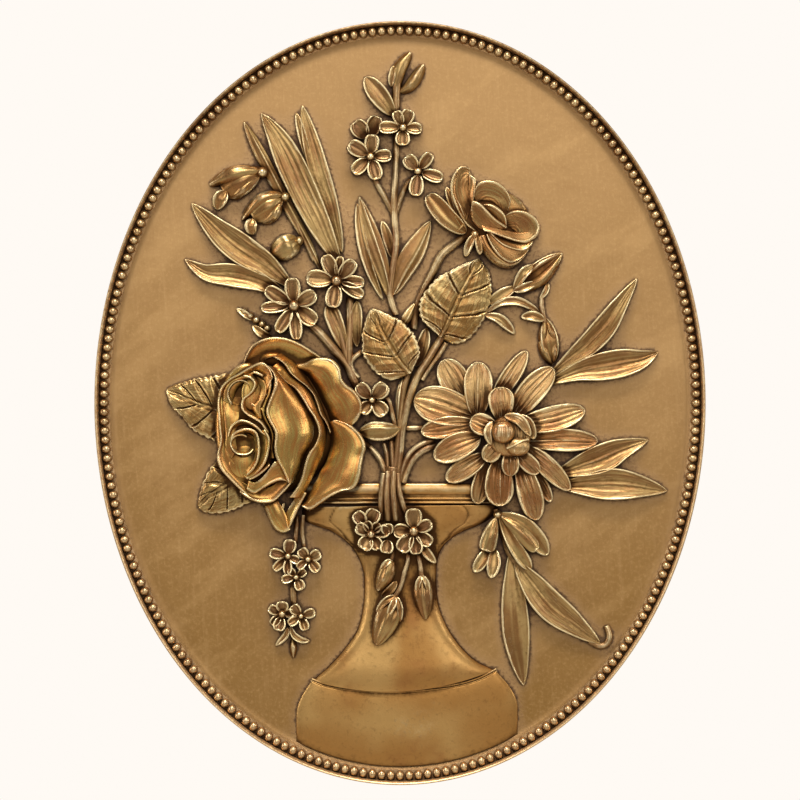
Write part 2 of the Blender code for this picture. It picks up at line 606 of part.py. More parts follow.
def add_plaque_body(collection):
    """The oval slab: a flat back with a chamfer, the lip, the row of beads and the ground inside."""
    bm = bmesh.new()
    last = add_loop(bm, BACK_CHAMFER, 0.0, STATIONS)
    bm.faces.new(last)
    lip = [
        (0.0, BACK_CHAMFER),
        (0.0, RIM_DEPTH - LIP_ROUND),
        (LIP_ROUND, RIM_DEPTH),
        (LIP_WIDTH - LIP_ROUND, RIM_DEPTH),
    ]
    for inset, depth in lip:
        loop = add_loop(bm, inset, depth, STATIONS)
        add_strip(bm, last, loop)
        last = loop
    outer_feet, inner_feet = add_beads(bm)
    add_fans(bm, last, outer_feet)
    ground = add_loop(bm, GROUND_EDGE, GROUND_THICKNESS, STATIONS)
    add_fans(bm, ground, inner_feet)
    bm.faces.new(ground)
    return add_object("floral_relief_plaque", bm, collection)


def add_beads(bm):
    """A band of cells side by side, each with a hipped hump; returns its outer and inner loops."""
    centre = (LIP_WIDTH + BEAD_ROW_END) / 2
    reach = BEAD_DIAMETER / 2 * BEAD_TOP_SHARE
    outer = add_loop(bm, LIP_WIDTH, BEAD_FOOT_DEPTH, BEAD_COUNT)
    inner = add_loop(bm, BEAD_ROW_END, BEAD_FOOT_DEPTH, BEAD_COUNT)
    top_out = add_loop(bm, centre - reach, BEAD_CREST_DEPTH, BEAD_COUNT, 0.5)
    top_in = add_loop(bm, centre + reach, BEAD_CREST_DEPTH, BEAD_COUNT, 0.5)
    for i in range(BEAD_COUNT):
        j = (i + 1) % BEAD_COUNT
        bm.faces.new((outer[i], outer[j], top_out[i]))
        bm.faces.new((outer[j], inner[j], top_in[i], top_out[i]))
        bm.faces.new((inner[j], inner[i], top_in[i]))
        bm.faces.new((inner[i], outer[i], top_out[i], top_in[i]))
    return outer, inner


def add_recess_cutter(collection):
    """The hanging recess: a slot in the back whose roof slopes upwards inside."""
    bm = bmesh.new()
    bmesh.ops.create_cube(bm, size=1.0)
    low = HEIGHT / 2 - RECESS_BELOW_TOP
    outside = 0.002
    for vert in bm.verts:
        inside = vert.co.y < 0
        top = low + RECESS_HEIGHT + (RECESS_CATCH if inside else 0.0)
        vert.co = Vector(
            (
                math.copysign(RECESS_WIDTH / 2, vert.co.x),
                -RECESS_DEPTH if inside else outside,
                top if vert.co.z > 0 else low,
            )
        )
    return add_helper("recess_cutter", bm, collection)


def main():
    clear_scene()
    shown = bpy.context.scene.collection
    carving = bpy.data.collections.new("carving")
    carving.hide_render = True
    shown.children.link(carving)
    tools = bpy.data.collections.new("tools")
    tools.hide_render = True
    shown.children.link(tools)

    plaque = add_plaque_body(shown)
    plaque.data.materials.append(gilt_material())
    for name, band in VASE_BANDS.items():
        add_band(name, band, VASE_SAGS[name], 4, carving)
    add_stem("vase_mouth", (VASE_MOUTH_HALF, VASE_MOUTH_LIFT, VASE_MOUTH_ENDS), carving)
    for name, stem in STEMS.items():
        add_stem(name, stem, carving)
    for name, blade in BLADES.items():
        add_blade(name, blade, carving)
    for name, band in ROSE_BANDS.items():
        add_band(name, band, (0, 0), 2, carving)
    for number, blade in enumerate(DAISY_PETALS, 1):
        add_blade(f"daisy_petal_{number}", blade, carving)
    for name, (centre, wide, tall, crown) in BUTTONS.items():
        add_button(name, centre, wide, tall, crown, BUTTON_CORNERS, carving)
    for name, blossom in BLOSSOMS.items():
        add_blossom(name, blossom, carving)
    for name, trumpet in TRUMPETS.items():
        add_trumpet(name, trumpet, carving)
    for number, grain in enumerate(WHEAT_GRAINS, 1):
        name = f"wheat_grain_{number}"
        add_button(name, grain, WHEAT_RADIUS, WHEAT_RADIUS, WHEAT_LIFT, SMALL_BUTTON_CORNERS, carving)

    union = plaque.modifiers.new("carving", "BOOLEAN")
    union.operation = "UNION"
    union.operand_type = "COLLECTION"
    union.collection = carving
    cut = plaque.modifiers.new("hanging_recess", "BOOLEAN")
    cut.operation = "DIFFERENCE"
    cut.object = add_recess_cutter(tools)


main()
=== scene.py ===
"""Dresses the oval floral relief plaque: fine relief in place of the coarse solid, and its antique gilt.

The relief is drawn on the same square grid as the solid's, with its origin at the oval's centre. A point is
x squares across, z squares up and lift squares off the ground, and the front faces -Y.
"""

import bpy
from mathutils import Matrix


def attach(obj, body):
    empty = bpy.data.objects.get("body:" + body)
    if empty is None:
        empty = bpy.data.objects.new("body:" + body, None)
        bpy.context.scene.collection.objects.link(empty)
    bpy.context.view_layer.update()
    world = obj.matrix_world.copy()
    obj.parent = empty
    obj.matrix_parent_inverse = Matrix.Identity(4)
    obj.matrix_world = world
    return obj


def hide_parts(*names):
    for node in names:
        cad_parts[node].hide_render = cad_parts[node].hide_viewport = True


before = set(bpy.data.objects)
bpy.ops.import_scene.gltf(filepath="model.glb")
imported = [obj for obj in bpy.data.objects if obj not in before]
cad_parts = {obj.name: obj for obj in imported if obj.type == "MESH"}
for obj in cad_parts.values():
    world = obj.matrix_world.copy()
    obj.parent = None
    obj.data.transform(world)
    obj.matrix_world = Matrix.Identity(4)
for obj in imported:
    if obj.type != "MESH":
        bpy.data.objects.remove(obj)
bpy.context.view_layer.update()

import math

import bmesh
import bpy
import numpy as np
from mathutils import Matrix, Vector

# Sizes shared with the solid, in metres
WIDTH = 0.4064
HEIGHT = 0.508
GROUND = 0.012
RIM_DEPTH = 0.0185
BACK_CHAMFER = 0.0015
LIP_WIDTH = 0.0028
BEAD_DIAMETER = 0.0068
BEAD_COUNT = 228
BEAD_FOOT = 0.0145
BEAD_CREST = 0.0182
BEAD_HALF_LENGTH = 0.00296
SLOPE_WIDTH = 0.0035
LIP_ROUND = 0.0007
GROUND_WAVE = 0.00012
RECESS_WIDTH = 0.024
RECESS_HEIGHT = 0.011
RECESS_DEPTH = 0.0075
RECESS_CATCH = 0.004
RECESS_BELOW_TOP = 0.060
RECESS_OVERRUN = 0.002

SQUARE_X = WIDTH / 612
SQUARE_Z = HEIGHT / 764
SQUARE_Y = 0.032 / 48
BEAD_ROW_END = LIP_WIDTH + BEAD_DIAMETER
GROUND_EDGE = BEAD_ROW_END + SLOPE_WIDTH
SUNK = 0.001
STEP = 1.3
OVAL_SEGMENTS = 456
OVAL_SAMPLES = 8193
GROUND_RINGS = 122
TO_FRONT = Vector((0.0, -1.0, 0.0))

# Camera and picture
PICTURE_WIDTH = 0.5317
CAMERA_AWAY = 2.6
PICTURE_SHIFT = 3 / 800
SENSOR = 36.0
BACKDROP_AWAY = 2.4
FLOOR_DROP = 1.3


# Drawing on the grid

def curve_at(points, share):
    """The point at this share of a smooth curve through the points."""
    spans = len(points) - 1
    at = min(max(share, 0.0), 1.0) * spans
    span = min(int(at), spans - 1)
    t = at - span
    a = points[max(span - 1, 0)]
    b = points[span]
    c = points[span + 1]
    d = points[min(span + 2, spans)]
    return Vector([
        0.5 * (2 * q + (r - p) * t + (2 * p - 5 * q + 4 * r - u) * t * t + (3 * q - p - 3 * r + u) * t ** 3)
        for p, q, r, u in zip(a, b, c, d)
    ])


def way_at(points, share, step=0.01):
    """The unit vector along a curve, seen from the front."""
    way = curve_at(points, share + step) - curve_at(points, share - step)
    return Vector((way.x, way.y)).normalized()


def path_length(points):
    return sum(math.hypot(b[0] - a[0], b[1] - a[1]) for a, b in zip(points, points[1:]))


def flat_points(points):
    """The points of an outline, which has no lift of its own."""
    return [Vector((x, z, 0.0)) for x, z in points]


def bump(distance, width):
    """1 at no distance, and about nought at twice the width."""
    return math.exp(-(distance / width) ** 2)


def place(x, z, lift):
    return Vector((x * SQUARE_X, -(GROUND + lift * SQUARE_Y), z * SQUARE_Z))


# What a sheet keeps at its points, and how many places its streaks may start from
SHEET_LAYERS = ("rim", "side", "along", "across")
STREAK_STARTS = 997


def new_sheets():
    """An empty mesh that is ready for sheets."""
    bm = bmesh.new()
    for layer in SHEET_LAYERS:
        bm.verts.layers.float.new(layer)
    return bm


def join_into(whole, bm):
    """Moves a small mesh into a larger one; this is far quicker than modelling in the larger one."""
    scrap = bpy.data.meshes.new("scrap")
    bm.to_mesh(scrap)
    bm.free()
    whole.from_mesh(scrap)
    bpy.data.meshes.remove(scrap)


def add_sheet(whole, row, along, sides, wall=2.4, ends=True, streak=1.0):
    """A front surface with walls down into the ground. row(s) gives a function of v: x, z, lift and rim.

    A rim above nought is a worn edge that also carries a painted highlight, and one below nought is a dark
    groove of patina and painted shade. The walls are marked as sides, which the gilt darkens with patina and
    painted shade.
    """
    bm = new_sheets()
    made = bmesh.ops.create_grid(bm, x_segments=along, y_segments=sides, size=1.0)["verts"]
    front = {face for vert in made for face in vert.link_faces}
    edges = list({edge for vert in made for edge in vert.link_edges if edge.is_boundary})
    rings = []
    for ring in range(2):
        grown = bmesh.ops.extrude_edge_only(bm, edges=edges)["geom"]
        edges = [item for item in grown if isinstance(item, bmesh.types.BMEdge)]
        rings.append([item for item in grown if isinstance(item, bmesh.types.BMVert)])
        ring_verts = set(rings[-1])
        edges = [edge for edge in edges if edge.verts[0] in ring_verts and edge.verts[1] in ring_verts]
    rim_layer, side_layer, along_layer, across_layer = [bm.verts.layers.float[name] for name in SHEET_LAYERS]
    apart = len(whole.verts) % STREAK_STARTS
    rows = {}
    # The walls get a side mark, which the gilt darkens as patina and painted shade.
    for verts, drop, side in ((made, 0.0, 0.0), (rings[0], wall, 0.75), (rings[1], None, 1.0)):
        for vert in verts:
            s = round((vert.co.x + 1) / 2, 6)
            if s not in rows:
                eased = (1 - math.cos(math.pi * s)) / 2 * 0.6 + s * 0.4 if ends else s
                rows[s] = row(eased)
            v = math.sin(math.pi / 2 * vert.co.y) * 0.6 + vert.co.y * 0.4
            x, z, lift, rim = rows[s](v)
            vert[rim_layer] = max(rim, 0.0) if side == 0.0 else 0.0
            vert[side_layer] = max(side, -rim)
            vert[along_layer] = apart + s * along * STEP * streak
            vert[across_layer] = apart + v * sides * STEP / 2 * streak
            if drop is None:
                vert.co = place(x, z, 0.0) + Vector((0.0, SUNK, 0.0))
            else:
                vert.co = place(x, z, max(lift - drop, -0.6))
    lean = 0.0
    for face in front:
        face.normal_update()
        lean += face.normal.y * face.calc_area()
    if lean > 0:
        bmesh.ops.reverse_faces(bm, faces=bm.faces[:])
    join_into(whole, bm)


# Leaves and petals

# How each style departs from PLAIN_LOOK: cup and fold shape the section, rib, lines and rim are raised
STYLES = {
    "long": dict(cup=4.6, fold=1.3, rib=0.7, rib_wide=0.06, lines=4, line_deep=0.28, rim=0.6, tip=1.05,
                 root=1.0),
    "broad": dict(cup=2.2, rib=0.5, rib_wide=0.05, rib_at=-0.45, lines=5, line_deep=0.3, rim=0.6, tip=1.0),
    "faint": dict(cup=1.2, lines=1, line_deep=0.15, rim=0.9, tip=1.0, root=0.9, streak=0.2),
    "fold": dict(cup=-2.0, rib=2.6, rib_wide=0.12, rib_at=-0.3, line_deep=0.1, rim=0.9, tip=1.0, streak=0.25),
    "plain": dict(cup=2.8, fold=1.4, rib=0.5, line_deep=0.1, rim=0.7, tip=0.8, streak=0.3),
    "spoon": dict(cup=4.4, lines=1, line_deep=0.1, rim=1.2, tip=0.5, root=0.62, streak=0.4),
    "daisy": dict(cup=2.4, rib=0.6, rib_wide=0.08, lines=5, line_deep=0.5, rim=1.1, tip=0.74, root=0.65,
                  streak=1.4),
    "bud": dict(cup=-5.0, line_deep=0.2, rim=0.0, tip=0.75, root=0.6, streak=0.4),
    "bell": dict(cup=-5.0, line_deep=0.25, rim=0.9, tip=0.36, root=0.9, streak=0.4),
}
PLAIN_LOOK = dict(rib=0.0, rib_wide=0.1, rib_at=0.0, lines=2, fold=2.0, root=0.8, streak=1.0)
BLUNT_END = 0.008
ROLLED_EDGE = 0.9
LEAF_EDGE_DROP = 1.6


def add_blade(bm, points, half, widest, style, **change):
    """A leaf or petal along a curve through (x, z, lift) points, swelling to its half width at one place."""
    look = dict(PLAIN_LOOK, **STYLES[style])
    look.update(change)
    length = path_length(points)
    shift = points[0][0] * 0.7 + points[0][1]

    def row(s):
        centre = curve_at(points, s)
        way = way_at(points, s)
        left = Vector((-way.y, way.x))
        t = BLUNT_END + (1 - 2 * BLUNT_END) * s
        out = (t - widest) / (1 - widest) if t > widest else (widest - t) / widest
        wide = half * (1 - out * out) ** (look["tip"] if t > widest else look["root"])
        far = s * length

        def across(v):
            inside = min((1 - abs(v)) * wide, (1 - s) * length)
            lift = centre.z + look["cup"] * abs(v) ** look["fold"] * min(wide / half * 1.3, 1.0)
            lift += look["rib"] * bump(v - look["rib_at"], look["rib_wide"]) * min(1.0, 6 * (1 - s))
            sway = 0.9 * math.sin(far * 0.11 + shift)
            grain = math.cos(math.pi * look["lines"] * (v - look["rib_at"]) + sway)
            grain += 0.7 * math.sin(5.3 * look["lines"] * v + far * 0.07 + shift)
            lift += look["line_deep"] * grain * min(1, inside / 3) * min(1, far / 6)
            lift += look["rim"] * bump(inside - 1.1, 0.8) - ROLLED_EDGE * bump(inside, 0.5)
            # rim: the worn edge and rib, which are also painted highlights
            rim = bump(inside - 0.7, 0.8) * (0.3 + 0.7 * min(look["rim"], 1.0))
            rim = max(rim, 0.5 * bump(v - look["rib_at"], look["rib_wide"]) * min(look["rib"], 1.0))
            spot = centre.xy + left * (v * wide)
            return spot.x, spot.y, lift, rim

        return across

    along = max(8, round(length / STEP))
    sides = max(6, round(2 * half / STEP * 1.25))
    add_sheet(bm, row, along, sides, streak=look["streak"])


def add_petal(bm, centre, turn, reach, half, lift):
    """A petal that starts near a flower's centre and points the way of turn, in degrees."""
    way = Vector((math.cos(math.radians(turn)), math.sin(math.radians(turn))))
    base = Vector(centre) + way * (0.16 * reach)
    tip = Vector(centre) + way * reach
    middle = (base + tip) / 2
    points = [(base.x, base.y, lift - 2.5), (middle.x, middle.y, lift - 1.0), (tip.x, tip.y, lift)]
    add_blade(bm, points, half, 0.58, "spoon")


def add_outlined_leaf(bm, left, middle, right, veins, teeth, lift, fall, puff):
    """A toothed leaf between its two edges and its midrib, with raised veins that run out and forwards."""
    left, middle, right = [flat_points(side) for side in (left, middle, right)]
    length = path_length(middle)

    def row(share):
        s = 0.988 * share
        edge_left = curve_at(left, s)
        spine = curve_at(middle, s)
        edge_right = curve_at(right, s)
        tooth = abs(math.sin(math.pi * teeth * s))
        grow = 1.0 + 0.055 * (tooth - 0.5)

        def across(v):
            side = edge_right if v > 0 else edge_left
            far = abs(v)
            wide = (side - spine).length
            spot = spine.lerp(side, far * grow)
            inside = min((1 - far) * wide, (1 - s) * length)
            phase = (s - 0.25 * far ** 0.8) * veins
            near = abs(phase - round(phase))
            fade = min(1.0, inside / 4) * min(1.0, far * wide / 3)
            height = three(lift, s) - LEAF_EDGE_DROP * far * far - fall * v
            height += puff * math.sin(math.pi * near) * fade
            height += (1.4 * bump(near - 0.08, 0.034) - 1.9 * bump(near, 0.036)) * fade
            height += 0.25 * math.sin(phase * 13 + far * 5) * fade
            rib = bump(far * wide, 1.3) * min(1.0, 5 * (1 - s))
            height += 2.0 * rib - 1.0 * bump(far * wide, 3.0)
            height += 0.5 * bump(inside - 1.0, 0.8) - 0.8 * bump(inside, 0.5)
            # rim: worn edges, rib and vein ridges, also painted highlights; groove: dark vein grooves of
            # patina and painted shade
            rim = max(0.75 * rib, 0.7 * bump(inside - 0.6, 0.7), 0.85 * bump(near - 0.085, 0.03) * fade)
            groove = max(1.1 * bump(near, 0.036) * fade, bump(far * wide - 2.6, 0.9) * min(1.0, 6 * (1 - s)))
            rim -= 0.95 * groove
            return spot.x, spot.y, height, rim

        return across

    span = max((curve_at(left, t / 8) - curve_at(right, t / 8)).length for t in range(9))
    add_sheet(bm, row, round(length / STEP * 1.3), round(span / STEP * 1.1), ends=False)


def three(values, share):
    """A value that runs smoothly through those at the start, the middle and the end."""
    start, middle, end = values
    bend = 2 * (start + end) - 4 * middle
    return start + (end - start - bend) * share + bend * share * share


def add_band(bm, first, second, crown, rim, lines=0.0):
    """A petal between its rim and its root, both curves through (x, z, lift) points."""
    first = [Vector(point) for point in first]
    second = [Vector(point) for point in second]
    length = (path_length(first) + path_length(second)) / 2
    gap = max((curve_at(first, t / 8) - curve_at(second, t / 8)).length for t in range(9))

    def row(s):
        edge = curve_at(first, s)
        root = curve_at(second, s)
        wide = max((root.xy - edge.xy).length, 0.5)
        ends = min(s, 1 - s) * length

        def across(v):
            t = (1 + v) / 2
            inside = t * wide
            spot = edge.lerp(root, t)
            lift = spot.z + crown * 4 * t * (1 - t)
            lift += rim * bump(inside - 1.5, 1.3) - 1.2 * bump(inside, 0.6) - 0.8 * bump(ends, 0.8)
            if lines:
                lift += lines * math.sin(inside * 1.9 + 3 * math.sin(5 * s)) * min(1, inside / 4)
            # glow: the worn rim, which is also a painted highlight
            glow = bump(inside - 1.1, 1.3) * min(1.0, rim)
            return spot.x, spot.y, lift, glow

        return across

    add_sheet(bm, row, max(10, round(length / STEP)), max(8, round(gap / STEP * 1.1)), wall=3.0)


def add_ribbon(bm, points, half, crown=1.0, rim=0.35, grain=0.0):
    """A stem or a rolled rim along a curve through (x, z, lift) points, round in section."""
    points = [Vector(point) for point in points]
    length = path_length(points)

    def row(s):
        centre = curve_at(points, s)
        way = way_at(points, s)
        left = Vector((-way.y, way.x))

        def across(v):
            spot = centre.xy + left * (v * half)
            lift = centre.z + half * crown * (math.sqrt(max(1 - 0.97 * v * v, 0.0)) - 1)
            lift += grain * math.sin(3 * math.pi * v + 2 * math.sin(9 * s))
            # The rim mark runs along the crest: worn gilding that is also a painted highlight.
            return spot.x, spot.y, lift, rim * bump(v, 0.6)

        return across

    add_sheet(bm, row, max(6, round(length / (STEP * 1.3))), max(6, round(2 * half / 0.9)), ends=False)


def add_dome(bm, centre, wide, tall, foot, crown, power=2.0, rim=0.5):
    """A round boss that rises from its foot lift to its crown."""

    def row(s):
        up = 2 * s - 1
        chord = math.sqrt(max(1 - up * up, 0.0)) * 0.99 + 0.01

        def across(v):
            x = v * chord
            out = min(math.sqrt(x * x + up * up), 1.0)
            lift = foot + (crown - foot) * (1 - out ** power) ** (1 / power)
            # rim pales the crown: worn gilding that is also a painted highlight
            return centre[0] + x * wide, centre[1] + up * tall, lift, rim * bump(out, 0.5)

        return across

    count = max(8, round(2 * max(wide, tall) / STEP * 1.2))
    add_sheet(bm, row, count, count)


# The catalogue of the relief

# Blades: a curve of (x, z, lift) points, half width, where along it they are widest, and style
LONG_LEAVES = [
    ([(-74, 122, 6), (-92, 160, 7), (-114, 200, 8), (-138, 246, 8), (-157, 282, 4)], 6.5, 0.72, "fold"),
    ([(-88, 232, 4), (-97, 264, 6), (-104, 291, 3)], 4.5, 0.5, "plain"),
    ([(-58, 150, 5), (-70, 198, 7), (-85, 246, 8), (-98, 298, 4)], 10, 0.62, "broad"),
    ([(-60, 138, 7), (-74, 165, 9), (-90, 198, 10), (-108, 236, 10), (-123, 266, 8), (-139, 290, 4)], 14.5,
     0.56, "broad"),
    ([(-106, 114, 9), (-130, 135, 10), (-156, 152, 10), (-182, 172, 8), (-209, 200, 4)], 15, 0.55, "long"),
    ([(-112, 106, 9), (-140, 121, 10), (-170, 128, 9), (-195, 131, 7), (-216, 144, 3)], 11.5, 0.45, "long"),
    ([(148, 26, 8), (171, 45, 9), (188, 58, 9), (204, 75, 9), (219, 97, 8), (238, 125, 4)], 12, 0.56, "long"),
    ([(146, 19, 8), (177, 31, 9), (200, 36, 9), (222, 40, 8), (242, 44, 7), (259, 51, 4)], 14.5, 0.52,
     "long"),
    ([(154, -72, 8), (180, -63, 9), (203, -55, 9), (222, -46, 7), (249, -37, 4)], 14.5, 0.5, "long"),
    ([(158, -83, 8), (190, -82, 9), (212, -81, 9), (238, -83, 8), (268, -88, 4)], 16, 0.5, "long"),
    ([(111, -148, 7), (113, -180, 8), (115, -212, 8), (118, -246, 7), (124, -283, 3)], 14, 0.58, "faint"),
    ([(114, -156, 7), (130, -178, 8), (149, -201, 9), (174, -221, 8), (201, -241, 6)], 15, 0.52, "long"),
    ([(-17, 103, 5), (-31, 135, 6), (-39, 168, 6), (-43, 200, 3)], 5.5, 0.55, "plain"),
    ([(-9, 102, 7), (-18, 135, 9), (-29, 168, 9), (-41, 207, 4)], 9.5, 0.58, "fold"),
    ([(-7, 144, 5), (-12, 164, 6), (-18, 182, 5)], 5.5, 0.5, "plain"),
    ([(-7, 108, 7), (4, 134, 9), (17, 157, 9), (31, 183, 4)], 11.5, 0.52, "fold"),
    ([(-6, 287, 7), (-19, 305, 9), (-35, 326, 7)], 10, 0.6, "plain"),
    ([(-54, 50, 8), (-62, 73, 10), (-72, 99, 8)], 8.5, 0.75, "broad"),
    ([(-43, 56, 8), (-44, 79, 9), (-43, 103, 8)], 6.5, 0.6, "broad"),
    ([(16, 36, 9), (22, 54, 10), (27, 76, 8)], 6.5, 0.6, "broad"),
    ([(-1, 73, 10), (7, 86, 12), (15, 100, 8)], 5, 0.5, "fold"),
    ([(3, 24, 10), (0, 4, 12), (-2, -20, 10)], 5, 0.4, "fold"),
]

TOP_SPRIG = [
    ([(-4, 312, 8), (-1, 333, 11), (11, 351, 7)], 7.0, 0.5, "bud"),
    ([(0, 311, 7), (12, 320, 10), (24, 339, 7)], 6.5, 0.58, "bud"),
    ([(-9, 316, 6), (-8, 327, 8), (-6, 338, 6)], 3.6, 0.45, "plain"),
]

# Stems: half width and the curve
STEMS = [
    (4.2, [(-3, 322, 9), (-4, 306, 9), (-4, 292, 9)]),
    (3.4, [(-4, 292, 9), (-4, 240, 10), (-6, 200, 10), (-4, 160, 10), (-8, 130, 10), (-10, 108, 10),
      (-4, 88, 11)]),
    (2.9, [(-6, 188, 8), (-12, 200, 8), (-20, 214, 9), (-28, 230, 9)]),
    (2.9, [(-4, 190, 8), (1, 206, 8), (8, 220, 9), (16, 226, 9)]),
    (4.2, [(66, 167, 12), (52, 157, 11), (41, 147, 11), (33, 131, 10), (25, 115, 10), (18, 98, 10),
      (13, 74, 10)]),
    (3.8, [(44, 70, 12), (36, 57, 13), (27, 42, 15), (18, 28, 16), (11, 10, 16), (6, -8, 15), (2, -28, 14),
      (0, -52, 13), (-3, -78, 14)]),
    (3.2, [(10, 32, 14), (5, 18, 14), (2, 0, 13), (-1, -28, 13), (-4, -56, 13), (-8, -80, 14)]),
    (4.6, [(-98, 86, 11), (-80, 70, 11), (-63, 50, 12), (-52, 36, 12), (-46, 22, 12), (-38, 8, 11)]),
    (3.4, [(-66, 100, 9), (-61, 76, 10), (-55, 52, 11), (-51, 38, 11)]),
    (4.2, [(-50, 106, 10), (-50, 82, 11), (-51, 56, 12), (-51, 38, 12)]),
    (2.6, [(-54, 41, 11), (-46, 46, 11), (-38, 52, 10)]),
    (2.2, [(-39, 50, 11), (-45, 46, 11.5), (-49, 40, 11.5), (-47, 32, 11), (-41, 25, 11)]),
    (2.6, [(46, 60, 10), (38, 47, 11), (28, 33, 12), (22, 23, 13)]),
    (2.2, [(-9, -38, 12), (-8, -50, 13), (-7, -72, 14)]),
    (2.6, [(-24, 4, 12), (-13, 4, 13), (-8, -10, 13), (-3, -30, 12)]),
    (2.5, [(-36, -20, 8), (-24, -28, 9), (-10, -36, 10), (0, -50, 11)]),
    (3.0, [(-38, -38, 10), (-28, -46, 11), (-19, -58, 12), (-13, -76, 13)]),
    (2.4, [(-16, -40, 10), (-13, -52, 11), (-12, -72, 13)]),
    (2.8, [(6, -25, 10), (16, -25, 10), (30, -24, 9)]),
    (2.6, [(34, -37, 13), (24, -40, 14), (14, -46, 14), (7, -55, 14), (2, -68, 14), (-1, -80, 14)]),
    (3.4, [(37, -42, 12), (28, -45, 13), (19, -50, 13), (11, -59, 13), (6, -70, 13), (3, -80, 14)]),
    (11.0, [(-7, -64, 15), (-9, -84, 16), (-6, -104, 16), (-2, -120, 14)]),
    (3.0, [(-16, -70, 16), (-18, -84, 17), (-19, -100, 17), (-19, -118, 15)]),
    (3.0, [(-12, -68, 17), (-13, -84, 19), (-13, -100, 19), (-12, -118, 17)]),
    (3.0, [(-6, -68, 17), (-7, -84, 19), (-6, -100, 19), (-4, -118, 17)]),
    (2.8, [(-2, -70, 16), (-1, -86, 18), (3, -102, 17), (8, -114, 15)]),
    (2.4, [(6, -146, 15), (8, -156, 15), (5, -167, 16), (1, -182, 16), (-6, -195, 16)]),
    (2.4, [(-6, -146, 14), (-8, -154, 15), (-10, -162, 15)]),
    (2.6, [(17, -146, 14), (20, -160, 15), (22, -178, 15)]),
    (2.4, [(-103, -112, 10), (-104, -128, 9), (-105, -142, 9)]),
    (2.2, [(-97, -112, 10), (-98, -128, 9), (-96, -146, 8)]),
    (3.2, [(-107, -178, 8), (-107, -190, 8), (-106, -206, 8)]),
    (1.9, [(-148, 236, 6), (-134, 232, 8), (-122, 218, 8), (-116, 205, 8), (-105, 184, 8), (-97, 165, 8),
      (-86, 142, 7)]),
    (2.6, [(142, 106, 8), (142, 96, 9), (145, 80, 9)]),
    (3.0, [(96, -106, 9), (99, -118, 9), (104, -135, 9), (109, -150, 9), (117, -161, 9), (126, -170, 8)]),
    (3.3, [(190, -238, 7), (200, -243, 7), (207, -241, 7), (210, -233, 7), (207, -223, 5)]),
    (2.6, [(86, 88, 8), (94, 96, 9), (104, 104, 9), (116, 114, 9)]),
]

# Small flowers: centre, lift, button radius, then petals as turn, length from the centre and half width
BLOSSOMS = [
    ((-31, 262), 10, 0, [(128, 24, 9), (72, 26, 8)]),
    ((3, 275), 16, 4.0, [(180, 24, 6.5), (115, 18, 5.5), (68, 19, 7), (-5, 19, 6), (-92, 18, 7.5)]),
    ((-29.5, 246), 17, 4.2, [(150, 25, 8), (84, 22, 7.5), (3, 21, 6.5), (-73, 24, 7.5), (-137, 24, 7)]),
    ((18, 231.5), 15, 3.8, [(130, 19, 7.5), (53, 22, 6), (-17, 26, 6.5), (-96, 25, 7.5)]),
    ((-63.5, 122), 17, 5.4, [(174, 30, 9), (114, 28, 7.5), (80, 25, 4.5), (47, 27, 7.5), (-4, 28, 6.5),
      (-30, 31, 6.5), (-99, 27, 8.5)]),
    ((-106, 97), 18, 5.6, [(94, 28, 8), (149, 33, 7.5), (184, 33, 6), (238, 31, 6.5), (-85, 34, 6.5),
      (-38, 28, 8.5), (29, 25, 8)]),
    ((-28, 3), 19, 3.6, [(133, 21, 7.2), (47, 21, 8.2), (-47, 20, 7.8), (-130, 17, 6.6)]),
    ((-33, -124), 19, 0, [(128, 19, 7), (63, 20, 8)]),
    ((-29, -131), 20, 4.6, [(150, 17, 6.5), (110, 14, 5), (52, 14, 5.4), (-120, 17, 8), (-60, 17, 6.5),
      (14, 19, 6.5)]),
    ((-12, -134), 20, 0, [(95, 14, 6.5), (-97, 16, 7)]),
    ((13.6, -128), 21, 5.2, [(90, 23, 8.5), (26, 20, 6.5), (178, 20, 7.5), (235, 24, 8), (-82, 23, 7.2),
      (-35, 22, 6.8)]),
    ((-112, -153), 14, 3.6, [(80, 17, 6.8), (168, 19, 5.4), (224, 20, 4.4), (-25, 12, 4.4), (-92, 18, 4.6)]),
    ((-92, -156), 14, 3.4, [(128, 13, 5.8), (28, 14, 5.8), (-48, 16, 5.6), (-140, 14, 4.2)]),
    ((-104, -174), 13, 3.2, [(190, 15, 4.6), (-65, 14, 5.6), (35, 12, 4.2), (130, 11, 4)]),
    ((-118, -211), 13, 4.2, [(88, 13, 6.4), (152, 15, 5), (225, 15, 5), (-104, 17, 6.4), (8, 12, 4.6)]),
    ((-99, -213), 13, 3.0, [(130, 14, 5.6), (18, 15, 5), (-70, 15, 5), (-148, 15, 4.6)]),
]

DAISY_BACK = [
    ([(70, -6, 13), (57, 18, 15), (43, 43, 13)], 15, 0.62),
    ([(94, 4, 11), (110, 26, 13), (127, 52, 10)], 9.5, 0.52),
    ([(130, -62, 12), (141, -80, 13), (151, -99, 10)], 6.5, 0.6),
    ([(86, -58, 13), (81, -80, 14), (77, -101, 11)], 9, 0.62),
    ([(126, -38, 15), (162, -37, 15), (198, -38, 11)], 11.5, 0.55),
    ([(76, -14, 15), (46, -4, 17), (14, 4, 15)], 19, 0.6),
    ([(77, -14, 16), (78, 14, 18), (78, 41, 16)], 14.5, 0.6),
    ([(112, -14, 16), (130, 10, 18), (153, 35, 14)], 13.5, 0.58),
    ([(118, -22, 18), (152, -16, 17), (185, -7, 13)], 13, 0.55),
    ([(76, -21, 17), (48, -24, 18), (21, -29, 15)], 11, 0.55),
    ([(86, -52, 15), (67, -64, 16), (46, -77, 13)], 10.5, 0.58),
    ([(80, -34, 18), (58, -43, 20), (34, -55, 17)], 13.5, 0.56),
    ([(120, -58, 16), (129, -88, 17), (137, -117, 13)], 12.5, 0.58),
    ([(126, -44, 18), (149, -65, 18), (170, -87, 13)], 10, 0.5),
    ([(100, -54, 18), (99, -78, 19), (100, -103, 16)], 14.5, 0.64),
]
